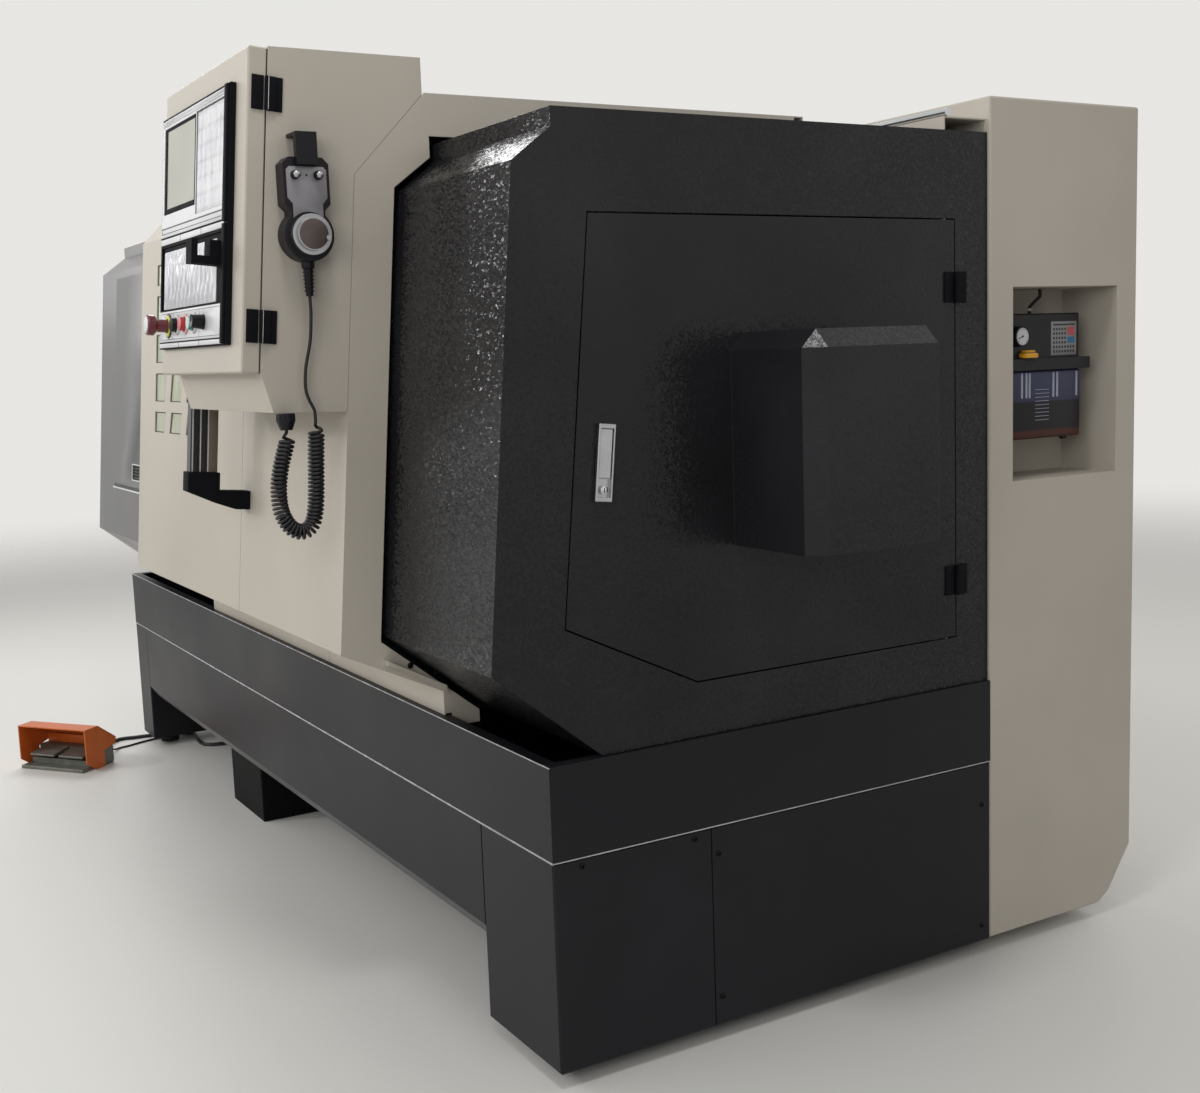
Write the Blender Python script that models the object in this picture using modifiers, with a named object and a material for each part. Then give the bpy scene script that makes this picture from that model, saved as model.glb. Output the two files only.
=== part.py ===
"""CNC turning lathe with two sliding hoods, a hanging hand wheel and a foot switch.

Units are metres, +Z is up, +X is the operator's right (the tailstock end) and -Y is the
operator's side.  The pieces are laid out from the tray's right end (x = 0), its front
(y = 0) and the underside of the pedestals (z = 0).  At the end the whole machine is moved
so that its origin is the middle of its footprint, on the floor.
"""
import math

import bmesh
import bpy
from mathutils import Matrix, Vector

# Gaps and sheet
seat_gap = 0.0003
running_gap = 0.0006
sheet = 0.003
overrun = 0.02

# Chip tray, pedestals and feet
tray_length = 3.205
tray_depth = 1.115
tray_bottom = 0.414
tray_height = 0.184
rim_width = 0.028
right_pedestal_width = 0.303
left_pedestal_width = 0.150
pedestal_edge = 0.004
pedestal_wall = 0.012
pedestal_end_block = 0.150
end_seam_y = 0.356
end_seam_width = 0.003
foot_height = 0.030
foot_radius = 0.032
foot_inset = 0.075
apron_bottom = 0.165
apron_lip_height = 0.035
apron_lip_depth = 0.022

# Bed, in section across the ways
bed_left = 2.930
bed_right = 0.130
bed_width = 0.400
bed_wall = 0.070
bed_floor = 0.060
way_height = 0.900
vee_width = 0.036
vee_height = 0.014
bed_port_width = 0.260
bed_port_height = 0.150
bed_ports = 6

# Spindle line
spindle_y = 0.585
spindle_rise = 0.265
spindle_z = way_height + spindle_rise
headstock_left = 2.900
headstock_right = 2.330
headstock_width = 0.400
headstock_height = 0.470
headstock_shoulder = 0.060
spindle_radius = 0.055
spindle_bore = 0.028
spindle_nose_radius = 0.090
spindle_nose_length = 0.034
spindle_tail = 3.060
spindle_pulley_radius = 0.110
motor_pulley_radius = 0.070
pulley_width = 0.056
pulley_left = 3.044
chuck_radius = 0.125
chuck_length = 0.100
chuck_jaws = 3
jaw_width = 0.034
jaw_length = 0.066
jaw_depth = 0.030
jaw_step = 0.022
jaw_proud = 0.034
jaw_inner_radius = 0.040
jaw_slot_depth = 0.020
motor_radius = 0.125
motor_length = 0.380
motor_z = 0.215
motor_shaft_radius = 0.019
belt_thickness = 0.008

# Feed screw, carriage, cross slide and tool turret
screw_y = 0.325
screw_drop = 0.100
screw_z = way_height - screw_drop
screw_radius = 0.020
screw_left = 2.870
screw_right = 0.440
screw_block_width = 0.090
screw_block_length = 0.050
feed_motor_size = 0.116
feed_motor_length = 0.240
carriage_centre = 1.900
carriage_length = 0.340
carriage_overhang = 0.050
carriage_thickness = 0.066
carriage_apron_thickness = 0.075
carriage_apron_drop = 0.150
carriage_apron_bottom = way_height - carriage_apron_drop
dovetail_width = 0.130
dovetail_height = 0.024
slide_length = 0.300
slide_width = 0.190
slide_height = 0.062
slide_centre_y = 0.400
turret_size = 0.170
turret_height = 0.085
turret_slot = 0.026
turret_hub_radius = 0.030
turret_base_height = 0.014
tool_width = 0.020
tool_reach = 0.040
tool_length = 0.090

# Tailstock
tailstock_left = 0.540
tailstock_length = 0.360
tailstock_width = 0.384
tailstock_waist = 0.120
tailstock_base_height = 0.090
barrel_radius = 0.072
barrel_overhang = 0.030
quill_radius = 0.037
quill_reach = 0.060
centre_length = 0.070
centre_radius = 0.020
handwheel_x = 0.030
handwheel_radius = 0.122
handwheel_rim = 0.011
handwheel_hub = 0.026
handwheel_grip = 0.070
screw_shaft_radius = 0.012

# End covers: section points of the front edge, seen from the end
cover_foot_y = 0.121
cover_belly_y = -0.104
cover_belly_z = 0.781
cover_shoulder_y = -0.021
cover_shoulder_z = 1.684
cover_brow_y = 0.060
cover_brow_z = 1.745
cover_top = 1.780
cover_setback = 0.008
rear_wall_depth = 0.120
rear_wall_y = tray_depth - rear_wall_depth
tail_cover_length = 0.560
head_cover_length = 1.060
tray_seat_z = tray_bottom + tray_height + seat_gap

# Tail door: corners of its outline, seen from the end
door_gap = 0.003
door_front_low_y = 0.052
door_front_low_z = 0.849
door_front_top_y = 0.130
door_top_z = 1.597
door_hinge_reach = 0.024
door_hinge_side_y = rear_wall_y + door_hinge_reach
door_bottom_z = 0.710
door_toe_y = 0.339
door_fold = 0.020
hinge_height = 0.062
hinge_leaf = 0.030
hinge_leaf_thickness = 0.003
hinge_pin_radius = 0.005
hinge_step = 0.0006
hinge_upper_z = 1.458
hinge_lower_z = 0.834
bulge_left_y = 0.436
bulge_right_y = 0.735
bulge_bottom_z = 0.967
bulge_top_z = 1.378
bulge_depth = 0.250
bulge_chamfer = 0.034
latch_y = 0.1435
latch_z = 1.148
latch_width = 0.036
latch_height = 0.143
latch_proud = 0.010
latch_rim = 0.004
lever_thickness = 0.005
lever_clearance = 0.0008

# Rear wall and the rail that the hoods roll on
rear_wall_top = 1.808
rail_radius = 0.009
rail_inset = 0.012

# Hoods: section points of the front
hood_right = 0.488
hood_seam = 1.175
hood_seam_gap = 0.002
hood_left = 2.195
hood_lip_y = 0.016
hood_lip_height = 0.052
hood_belly_y = -0.206
hood_belly_z = 0.757
hood_brow_y = -0.118
hood_brow_z = 1.714
hood_roof_y = 0.040
hood_roof_z = 1.879
hood_clearance = 0.014
hood_tab_y = 0.098
hood_tab_z = 0.572
hood_ledge = 0.022
hood_ledge_height = 0.014
ledge_share = 0.55
ledge_climb = 0.68
lean = math.atan2(hood_brow_y - hood_belly_y, hood_brow_z - hood_belly_z)

# Windows in the left hood
pane_columns = 4
pane_first_x = 2.020
pane_pitch = 0.170
pane_width = 0.112
pane_slant = 0.008
pane_row_heights = (0.058, 0.080, 0.080, 0.080, 0.058)
pane_row_gap = 0.030
pane_bottom_z = 1.166
window_frame_depth = 0.020
window_frame_margin = 0.030
glass_thickness = 0.004

# Control box on the right hood
box_left = 1.080
box_top = 1.947
box_front_top_y = -0.316
box_front_low_z = 1.334
box_back_top_y = 0.036
box_floor_z = 1.249
box_toe_y = -0.313
box_toe_z = 1.254
box_wall = 0.004
door_thickness = 0.037
door_seam = 0.0008
control_hinge_height = 0.062
control_hinge_leaf = 0.028
control_hinge_low = 0.060
control_hinge_high = 0.500

# Panel on the control door, in the door's own leaning frame
panel_right = 0.068
panel_width = 0.504
panel_bottom = 0.055
panel_height = 0.503
panel_depth = 0.012
pocket_depth = 0.004
screen_right = 0.312
screen_width = 0.220
screen_bottom = 0.360
screen_height = 0.168
keys_right = 0.098
keys_width = 0.199
keys_bottom = 0.328
keys_height = 0.207
membrane_right = 0.095
membrane_width = 0.465
membrane_bottom = 0.140
membrane_height = 0.137
button_row = 0.104
estop_right = 0.490
button_pitch = 0.066
estop_radius = 0.0225
estop_stem_radius = 0.014
estop_height = 0.046
estop_cap = 0.016
button_radius = 0.0145
button_height = 0.016
collar_height = 0.005
collar_width = 0.003
knob_radius = 0.015
knob_height = 0.022
clip_right = 0.100
clip_width = 0.040
clip_bottom = 0.210
clip_height = 0.048
clip_reach = 0.060
clip_wall = 0.012
clip_slot_depth = 0.032

# Hand wheel pendant on the side of the right hood
pendant_y = -0.233
pendant_top_z = 1.738
pendant_head_width = 0.092
pendant_head_height = 0.088
pendant_waist_width = 0.068
pendant_round_radius = 0.050
pendant_round_z = 1.592
pendant_thickness = 0.042
pendant_hook_width = 0.042
pendant_hook_rise = 0.046
pendant_hook_thickness = 0.012
dial_radius = 0.039
dial_height = 0.016
dial_face_radius = 0.031
dial_face_height = 0.008
peg_radius = 0.005
peg_height = 0.016
peg_offset = 0.024
dial_hub_radius = 0.010
knob_spacing = 0.046
knob_drop = 0.034
small_knob_radius = 0.009
small_knob_height = 0.014
relief_radius = 0.0125
relief_cap = 0.014
relief_tip_radius = 0.007
relief_length = 0.054

# Pendant cord: hand-chosen route, seen from the end
cord_radius = 0.0035
cord_spacing = 0.014
curl_drop = 0.010
curl_end_z = 1.234
curl_radius = 0.017
gland_radius = 0.018
gland_height = 0.032
gland_y = -0.297
gland_tip_radius = 0.012

# Door handle on the right hood
handle_x = 1.128
handle_width = 0.034
handle_front = 0.148
handle_depth = 0.063
handle_bottom_z = 1.094
handle_length = 0.460
bracket_height = 0.045
bracket_arm = 0.041
bracket_margin = 0.006

# Rear electrical cabinet, its niche and door
cabinet_length = 1.250
cabinet_gap = 0.0005
cabinet_y = tray_depth + cabinet_gap
cabinet_depth = 0.4625
cabinet_back_y = cabinet_y + cabinet_depth
cabinet_top = 1.854
cabinet_bottom = 0.003
cabinet_toe_inset = 0.109
cabinet_toe_y = cabinet_back_y - cabinet_toe_inset
cabinet_toe_z = 0.130
cabinet_wall = 0.004
cabinet_service = 0.240
niche_inset = 0.0685
niche_y = cabinet_y + niche_inset
niche_width = 0.330
niche_right_y = niche_y + niche_width
niche_bottom_z = 1.035
niche_top_z = 1.457
niche_depth = 0.160
cabinet_door_margin = 0.050
cabinet_door_bottom = 0.180
cabinet_door_thickness = 0.018

# Central lubricator in the niche
oiler_inset = 0.028
oiler_y = niche_y + oiler_inset
oiler_width = 0.241
oiler_depth = 0.100
oiler_bottom_z = 1.120
oiler_tank_height = 0.154
oiler_flange_height = 0.026
oiler_flange_overhang = 0.018
oiler_head_height = 0.100
oiler_bracket = 0.012
gauge_radius = 0.023
gauge_depth = 0.014
oil_cap_radius = 0.022
oil_cap_height = 0.014
oil_tube_radius = 0.004
oil_tube_spacing = 0.008

# Coolant tank on the floor under the tray
tank_left = 2.240
tank_length = 0.300
tank_y = 0.050
tank_width = 0.600
tank_height = 0.300
tank_pump_radius = 0.070
tank_pump_height = 0.080
tank_pipe_radius = 0.014

# Foot switch on the floor
pedal_x = -3.083
pedal_y = -0.460
pedal_turn = math.radians(38.0)
guard_width = 0.292
guard_height = 0.150
guard_wall = 0.004
guard_roof_depth = 0.068
guard_nose_depth = 0.155
guard_nose_z = 0.090
guard_nose_back_depth = 0.150
guard_nose_low_z = 0.068
guard_heel_depth = 0.092
guard_heel_z = 0.056
guard_toe_depth = 0.045
guard_toe_z = 0.030
foot_plate_front = 0.012
foot_plate_height = 0.012
foot_plate_margin = 0.008
foot_hump_depth = 0.035
foot_hump_height = 0.030
foot_block_depth = 0.094
foot_block_height = 0.060
foot_block_back = 0.148
pedal_width = 0.104
pedal_length = 0.076
pedal_gap = 0.020
pedal_z = 0.056
pedal_thickness = 0.007
pedal_pin_radius = 0.005
pedal_tilt = math.radians(8.0)
foot_cord_radius = 0.005
thin_cord_radius = 0.0035
cord_gland_radius = 0.009
cord_gland_length = 0.012
motor_gland_radius = 0.012
motor_gland_x = -2.860
thin_cord_end_x = -3.172
thin_cord_end_y = 0.110

round_steps = 32


def srgb(hex_colour):
    """Linear RGBA of a colour written as six hex digits."""
    channels = [int(hex_colour[i:i + 2], 16) / 255 for i in (0, 2, 4)]
    linear = [c / 12.92 if c <= 0.04045 else ((c + 0.055) / 1.055) ** 2.4 for c in channels]
    return (*linear, 1.0)


def material(name, hex_colour, roughness, metallic=0.0):
    made = bpy.data.materials.new(name)
    made.use_nodes = True
    shader = made.node_tree.nodes["Principled BSDF"]
    shader.inputs["Base Color"].default_value = srgb(hex_colour)
    shader.inputs["Roughness"].default_value = roughness
    shader.inputs["Metallic"].default_value = metallic
    made.diffuse_color = srgb(hex_colour)
    return made


for old in list(bpy.data.objects):
    bpy.data.objects.remove(old, do_unlink=True)

parts = bpy.data.collections.new("cnc_turning_lathe")
cutters = bpy.data.collections.new("cutters")
bpy.context.scene.collection.children.link(parts)
bpy.context.scene.collection.children.link(cutters)

graphite = material("graphite_paint", "4A4A50", 0.45)
charcoal = material("charcoal_texture_paint", "2B2B30", 0.6)
beige = material("warm_grey_paint", "BDBBAF", 0.5)
cast_iron = material("cast_iron", "6B6F72", 0.55, 0.6)
steel = material("ground_steel", "B4B6B8", 0.3, 1.0)
aluminium = material("anodised_aluminium", "C2C3C4", 0.35, 1.0)
black_plastic = material("black_plastic", "17171B", 0.5)
black_rubber = material("black_rubber", "141416", 0.8)
motor_blue_grey = material("motor_paint", "3C444C", 0.5)
glass = material("window_polycarbonate", "C4CDB0", 0.15)
screen_glass = material("screen_glass", "20262A", 0.1)
signal_red = material("red_plastic", "7C2431", 0.4)
start_green = material("green_plastic", "2E8C6E", 0.4)
amber_oil = material("oil_tank_plastic", "5A3430", 0.2)
guard_orange = material("orange_paint", "C0592A", 0.45)
pedal_grey = material("grey_cast_aluminium", "5A5B54", 0.5, 0.3)

machine = bpy.data.objects.new("machine_frame", None)
parts.objects.link(machine)


def hold(obj, finish=None, parent=None):
    """Link an object to the parts, give it its material and hang it on its parent."""
    parts.objects.link(obj)
    if finish is not None:
        obj.data.materials.clear()
        obj.data.materials.append(finish)
    obj.parent = parent or machine
    return obj


def mesh_object(name, shape, finish=None, origin=(0, 0, 0), parent=None):
    """Mesh object from a bmesh in machine coordinates, with its origin where asked."""
    bmesh.ops.translate(shape, verts=shape.verts, vec=-Vector(origin))
    mesh = bpy.data.meshes.new(name)
    shape.to_mesh(mesh)
    shape.free()
    obj = bpy.data.objects.new(name, mesh)
    obj.location = origin
    return hold(obj, finish, parent)


def cube(low, high):
    """Box between two opposite corners."""
    shape = bmesh.new()
    bmesh.ops.create_cube(shape, size=1)
    span = Vector(high) - Vector(low)
    bmesh.ops.scale(shape, verts=shape.verts, vec=span)
    bmesh.ops.translate(shape, verts=shape.verts, vec=(Vector(high) + Vector(low)) / 2)
    return shape


def box(name, low, high, finish=None, bevel=0.0, **place):
    obj = mesh_object(name, cube(low, high), finish, **place)
    if bevel:
        soften(obj, bevel)
    return obj


def soften(obj, width, segments=1):
    """Small rounded edges on the sharp corners of a solid."""
    mod = obj.modifiers.new("soft_edges", "BEVEL")
    mod.width = width
    mod.segments = segments
    mod.limit_method = "ANGLE"


def boxes_mesh(ranges):
    """Several separate boxes in one bmesh, for a cutter."""
    shape = bmesh.new()
    for low, high in ranges:
        one = cube(low, high)
        held = bpy.data.meshes.new("held")
        one.to_mesh(held)
        one.free()
        shape.from_mesh(held)
        bpy.data.meshes.remove(held)
    return shape


axes = {
    "YZ": Matrix(((0, 0, 1), (1, 0, 0), (0, 1, 0))).to_4x4(),
    "XZ": Matrix(((1, 0, 0), (0, 0, -1), (0, 1, 0))).to_4x4(),
    "XY": Matrix.Identity(4),
}


def outline(name, loops, plane, start, end, finish=None, origin=(0, 0, 0), parent=None):
    """Flat outline with holes, filled and extruded from start to end across its plane."""
    curve = bpy.data.curves.new(name + "_outline", "CURVE")
    curve.dimensions = "2D"
    curve.fill_mode = "BOTH"
    curve.extrude = abs(end - start) / 2
    for points in loops:
        spline = curve.splines.new("POLY")
        spline.points.add(len(points) - 1)
        for point, place in zip(spline.points, points):
            point.co = (place[0], place[1], 0, 1)
        spline.use_cyclic_u = True
    drawn = bpy.data.objects.new(name + "_drawn", curve)
    parts.objects.link(drawn)
    bpy.context.view_layer.update()
    graph = bpy.context.evaluated_depsgraph_get()
    mesh = bpy.data.meshes.new_from_object(drawn.evaluated_get(graph))
    bpy.data.objects.remove(drawn)
    shape = bmesh.new()
    shape.from_mesh(mesh)
    bpy.data.meshes.remove(mesh)
    bmesh.ops.remove_doubles(shape, verts=shape.verts, dist=0.00001)
    middle = (start + end) / 2
    if plane == "XZ":
        middle = -middle
    bmesh.ops.translate(shape, verts=shape.verts, vec=(0, 0, middle))
    bmesh.ops.transform(shape, verts=shape.verts, matrix=axes[plane])
    bmesh.ops.recalc_face_normals(shape, faces=shape.faces)
    return mesh_object(name, shape, finish, origin, parent)


turns = {
    "X": Matrix.Rotation(math.pi / 2, 4, "Y"),
    "Y": Matrix.Rotation(-math.pi / 2, 4, "X"),
    "Z": Matrix.Identity(4),
}


def round_bar(axis, centre, radius, start, end, steps=round_steps, end_radius=None):
    """Cylinder or cone along an axis; centre gives the other two coordinates."""
    shape = bmesh.new()
    bmesh.ops.create_cone(shape, cap_ends=True, segments=steps, radius1=radius,
                          radius2=radius if end_radius is None else end_radius,
                          depth=abs(end - start))
    bmesh.ops.transform(shape, verts=shape.verts, matrix=turns[axis])
    middle = (start + end) / 2
    place = {"X": (middle, *centre), "Y": (centre[0], middle, centre[1]), "Z": (*centre, middle)}
    bmesh.ops.translate(shape, verts=shape.verts, vec=place[axis])
    return shape


def cylinder(name, axis, centre, radius, start, end, finish=None, steps=round_steps,
             end_radius=None, **where):
    shape = round_bar(axis, centre, radius, start, end, steps, end_radius)
    obj = mesh_object(name, shape, finish, **where)
    smooth(obj)
    return obj


def smooth(obj):
    obj.data.shade_smooth()
    obj.data.set_sharp_from_angle(angle=math.radians(35))


def turned(name, profile, axis, origin, finish=None, steps=round_steps, parent=None):
    """Turned piece: (radius, along) points down the outer side, screwed round the axis.

    A profile that starts and ends on the axis is solid; otherwise it closes on itself.
    """
    mesh = bpy.data.meshes.new(name)
    points = [(radius, 0, along) for radius, along in profile]
    edges = [(i, i + 1) for i in range(len(points) - 1)]
    if profile[0][0] > 0:
        edges.append((len(points) - 1, 0))
    mesh.from_pydata(points, edges, [])
    obj = bpy.data.objects.new(name, mesh)
    obj.matrix_world = Matrix.Translation(origin) @ turns[axis]
    mod = obj.modifiers.new("turning", "SCREW")
    mod.steps = steps
    mod.render_steps = steps
    mod.use_merge_vertices = True
    mod.merge_threshold = 0.00001
    mod.use_smooth_shade = False
    return hold(obj, finish, parent)


def sheet_metal(name, faces, thickness, finish=None, origin=(0, 0, 0), parent=None):
    """Folded sheet: outer faces as point loops, thickened inwards."""
    shape = bmesh.new()
    for points in faces:
        shape.faces.new([shape.verts.new(point) for point in points])
    bmesh.ops.remove_doubles(shape, verts=shape.verts, dist=0.00001)
    bmesh.ops.recalc_face_normals(shape, faces=shape.faces)
    middle = sum((vert.co for vert in shape.verts), Vector()) / len(shape.verts)
    outward = sum((face.calc_center_median() - middle).dot(face.normal) * face.calc_area()
                  for face in shape.faces)
    if outward < 0:
        bmesh.ops.reverse_faces(shape, faces=shape.faces)
    obj = mesh_object(name, shape, finish, origin, parent)
    mod = obj.modifiers.new("sheet", "SOLIDIFY")
    mod.thickness = thickness
    mod.offset = -1
    mod.use_even_offset = True
    mod.use_quality_normals = True
    return obj


def use_as_tool(tool):
    """Move a cutter or joined form out of the parts, shown as wire only."""
    parts.objects.unlink(tool)
    cutters.objects.link(tool)
    tool.hide_render = True
    tool.display_type = "WIRE"


def combine(obj, tool, operation):
    mod = obj.modifiers.new(tool.name, "BOOLEAN")
    mod.operation = operation
    mod.solver = "EXACT"
    mod.object = tool
    use_as_tool(tool)


def cut(obj, tool):
    combine(obj, tool, "DIFFERENCE")


def join(obj, tool):
    combine(obj, tool, "UNION")


def tube(name, points, radius, finish, resolution=2):
    """Round cord or hose along a line of points."""
    curve = bpy.data.curves.new(name, "CURVE")
    curve.dimensions = "3D"
    curve.bevel_depth = radius
    curve.bevel_resolution = resolution
    curve.use_fill_caps = True
    spline = curve.splines.new("POLY")
    spline.points.add(len(points) - 1)
    for point, place in zip(spline.points, points):
        point.co = (*place, 1)
    obj = bpy.data.objects.new(name, curve)
    return hold(obj, finish)


def smooth_route(knots, spacing):
    """Evenly spaced points on a smooth curve through the knots, straight at both ends."""
    ends = [2 * knots[0] - knots[1]] + knots + [2 * knots[-1] - knots[-2]]
    fine = []
    for a, b, c, d in zip(ends, ends[1:], ends[2:], ends[3:]):
        stations = 24
        for i in range(stations):
            t = i / stations
            fine.append(((b * 2) + (c - a) * t + (a * 2 - b * 5 + c * 4 - d) * t ** 2
                         + (b * 3 - a - c * 3 + d) * t ** 3) / 2)
    fine.append(knots[-1])
    lengths = [0]
    for first, second in zip(fine, fine[1:]):
        lengths.append(lengths[-1] + (second - first).length)
    count = max(2, round(lengths[-1] / spacing))
    route = []
    index = 0
    lowest = min(knot.z for knot in knots)
    for i in range(count + 1):
        wanted = lengths[-1] * i / count
        while index < len(lengths) - 2 and lengths[index + 1] < wanted:
            index += 1
        share = (wanted - lengths[index]) / (lengths[index + 1] - lengths[index])
        place = fine[index].lerp(fine[index + 1], share)
        place.z = max(place.z, lowest)
        route.append(place)
    step = lengths[-1] / count
    route[1] = knots[0] + (knots[1] - knots[0]).normalized() * step
    route[-2] = knots[-1] + (knots[-2] - knots[-1]).normalized() * step
    return route


def arc(centre, radius, first, last, steps):
    """Points of an arc; angles in degrees, both ends included."""
    turn = (math.radians(first + (last - first) * i / steps) for i in range(steps + 1))
    return [(centre[0] + radius * math.cos(a), centre[1] + radius * math.sin(a)) for a in turn]


# Chip tray: folded sheet trough with a rim turned inwards
def tray_ring(inset, z):
    return [(-tray_length + inset, inset, z), (-inset, inset, z),
            (-inset, tray_depth - inset, z), (-tray_length + inset, tray_depth - inset, z)]


def band(lower, upper):
    count = len(lower)
    return [(lower[i], lower[(i + 1) % count], upper[(i + 1) % count], upper[i])
            for i in range(count)]


tray_top = tray_bottom + tray_height
floor_ring = tray_ring(0, tray_bottom)
rim_outer = tray_ring(0, tray_top)
rim_inner = tray_ring(rim_width, tray_top)
chip_tray = sheet_metal("chip_tray", [floor_ring[::-1]] + band(floor_ring, rim_outer)
                        + band(rim_outer, rim_inner), sheet, graphite)
belt_slot = box("belt_slot", (-pulley_left - seat_gap * 10, spindle_y - spindle_pulley_radius,
                              tray_bottom - overrun),
                (-pulley_left + pulley_width + seat_gap * 10, spindle_y + spindle_pulley_radius,
                 tray_bottom + overrun))
cut(chip_tray, belt_slot)


# Pedestals with their levelling feet
def pedestal(name, left, right):
    low = (-left, 0, 0)
    high = (-right, tray_depth, tray_bottom - seat_gap)
    obj = box(name, low, high, graphite, bevel=pedestal_edge)
    for place_y in (foot_inset, tray_depth - foot_inset):
        pad = cylinder(name + "_pad", "Z", (-(left + right) / 2, place_y), foot_radius,
                       -foot_height, foot_height / 2, steps=16)
        join(obj, pad)
    hollow = box(name + "_hollow",
                 (low[0] + pedestal_wall, pedestal_end_block, -overrun),
                 (high[0] - pedestal_wall, tray_depth - pedestal_end_block,
                  tray_bottom - 2 * pedestal_wall))
    cut(obj, hollow)
    return obj


right_pedestal = pedestal("right_pedestal", right_pedestal_width, 0)
seam = box("end_seam", (-end_seam_width, end_seam_y - end_seam_width / 2, -overrun),
           (overrun, end_seam_y + end_seam_width / 2, tray_bottom + overrun))
cut(right_pedestal, seam)
pedestal("left_pedestal", tray_length, tray_length - left_pedestal_width)

# Front apron between the pedestals, with a slanting lip
apron_right = -right_pedestal_width - seat_gap
apron_left = -tray_length + left_pedestal_width + seat_gap
apron_line = [(0, tray_bottom - seat_gap), (0, apron_bottom + apron_lip_height),
              (apron_lip_depth, apron_bottom)]
sheet_metal("front_apron", [
    ((apron_left, *upper), (apron_right, *upper), (apron_right, *lower), (apron_left, *lower))
    for upper, lower in zip(apron_line, apron_line[1:])], sheet, graphite)

# Bed: trough section with a vee way in front and a second one behind
bed_front = spindle_y - bed_width / 2
bed_back = spindle_y + bed_width / 2
bed_foot_z = tray_bottom + sheet + seat_gap


def vee(middle, rise=0.0, spread=0.0):
    half = vee_width / 2 + spread
    return [(middle - half, way_height + rise), (middle, way_height + vee_height + rise + spread),
            (middle + half, way_height + rise)]


front_vee_y = bed_front + bed_wall / 2
back_vee_y = bed_back - bed_wall / 2
bed_section = [(bed_front, bed_foot_z), (bed_back, bed_foot_z), (bed_back, way_height)]
bed_section += vee(back_vee_y)[::-1]
bed_section += [(bed_back - bed_wall, way_height),
                (bed_back - bed_wall, bed_foot_z + bed_floor),
                (bed_front + bed_wall, bed_foot_z + bed_floor),
                (bed_front + bed_wall, way_height)]
bed_section += vee(front_vee_y)[::-1] + [(bed_front, way_height)]
bed = outline("bed", [bed_section], "YZ", -bed_left, -bed_right, cast_iron)
port_span = (bed_left - bed_right) / bed_ports
port_mid_z = (bed_foot_z + bed_floor + way_height) / 2
bed_port_cutter = mesh_object("bed_ports", boxes_mesh([
    ((-bed_left + port_span * (i + 0.5) - bed_port_width / 2, bed_front - overrun,
      port_mid_z - bed_port_height / 2),
     (-bed_left + port_span * (i + 0.5) + bed_port_width / 2, bed_front + bed_wall + overrun,
      port_mid_z + bed_port_height / 2)) for i in range(bed_ports)]))
cut(bed, bed_port_cutter)


# Everything that straddles the ways has this underside
def way_seat(front, back):
    """Underside from back to front with grooves for both vees."""
    points = [(back, way_height + seat_gap)]
    points += [(y, z) for y, z in vee(back_vee_y, seat_gap, running_gap)[::-1]]
    points += [(y, z) for y, z in vee(front_vee_y, seat_gap, running_gap)[::-1]]
    points += [(front, way_height + seat_gap)]
    return points


# Headstock casting with sloping shoulders, bored for the spindle
head_front = spindle_y - headstock_width / 2
head_back = spindle_y + headstock_width / 2
head_top = way_height + headstock_height
headstock = outline("headstock", [way_seat(head_front, head_back) + [
    (head_front, head_top - headstock_shoulder), (head_front + headstock_shoulder, head_top),
    (head_back - headstock_shoulder, head_top), (head_back, head_top - headstock_shoulder)]],
    "YZ", -headstock_left, -headstock_right, cast_iron)
spindle_axis = (spindle_y, spindle_z)
cut(headstock, cylinder("headstock_bore", "X", spindle_axis, spindle_radius + running_gap,
                        -headstock_left - overrun, -headstock_right + overrun))

# Spindle: hollow, with its nose flange and its belt pulley
spindle_face = -headstock_right + seat_gap + spindle_nose_length
pulley_right = pulley_left - pulley_width
spindle = turned("spindle", [
    (spindle_nose_radius, spindle_face),
    (spindle_nose_radius, -headstock_right + seat_gap),
    (spindle_radius, -headstock_right + seat_gap),
    (spindle_radius, -pulley_right),
    (spindle_pulley_radius, -pulley_right),
    (spindle_pulley_radius, -pulley_left),
    (spindle_radius, -pulley_left),
    (spindle_radius, -spindle_tail),
    (spindle_bore, -spindle_tail),
    (spindle_bore, spindle_face)], "X", (0, *spindle_axis), steel)

# Chuck: turned body with three slots, and the stepped jaws that slide in them
chuck_back = spindle_face - seat_gap
chuck_face = chuck_back + chuck_length
chuck_edge = jaw_slot_depth / 4
chuck = turned("chuck", [
    (chuck_radius - chuck_edge, chuck_face), (chuck_radius, chuck_face - chuck_edge),
    (chuck_radius, chuck_back), (spindle_bore, chuck_back), (spindle_bore, chuck_face)],
    "X", (0, *spindle_axis))
for number in range(chuck_jaws):
    turn = 2 * math.pi * number / chuck_jaws
    spoke = Matrix.Translation((0, *spindle_axis)) @ Matrix.Rotation(turn, 4, "X")
    slot = box("jaw_slot_%d" % (number + 1),
               (chuck_face - jaw_slot_depth - seat_gap, -jaw_width / 2 - seat_gap, 0),
               (chuck_face + overrun, jaw_width / 2 + seat_gap, chuck_radius + overrun))
    slot.matrix_world = spoke
    cut(chuck, slot)
    reach = jaw_inner_radius + jaw_length
    jaw_base = chuck_face - jaw_slot_depth
    jaw = outline("jaw_%d" % (number + 1), [[
        (jaw_base, jaw_inner_radius), (jaw_base, reach), (chuck_face + jaw_depth / 2, reach),
        (chuck_face + jaw_depth / 2, reach - jaw_step),
        (chuck_face + jaw_depth, reach - jaw_step),
        (chuck_face + jaw_depth, reach - 2 * jaw_step),
        (chuck_face + jaw_proud, reach - 2 * jaw_step),
        (chuck_face + jaw_proud, jaw_inner_radius)]], "XZ", -jaw_width / 2, jaw_width / 2, steel)
    jaw.matrix_world = spoke

join(spindle, chuck)

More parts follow.
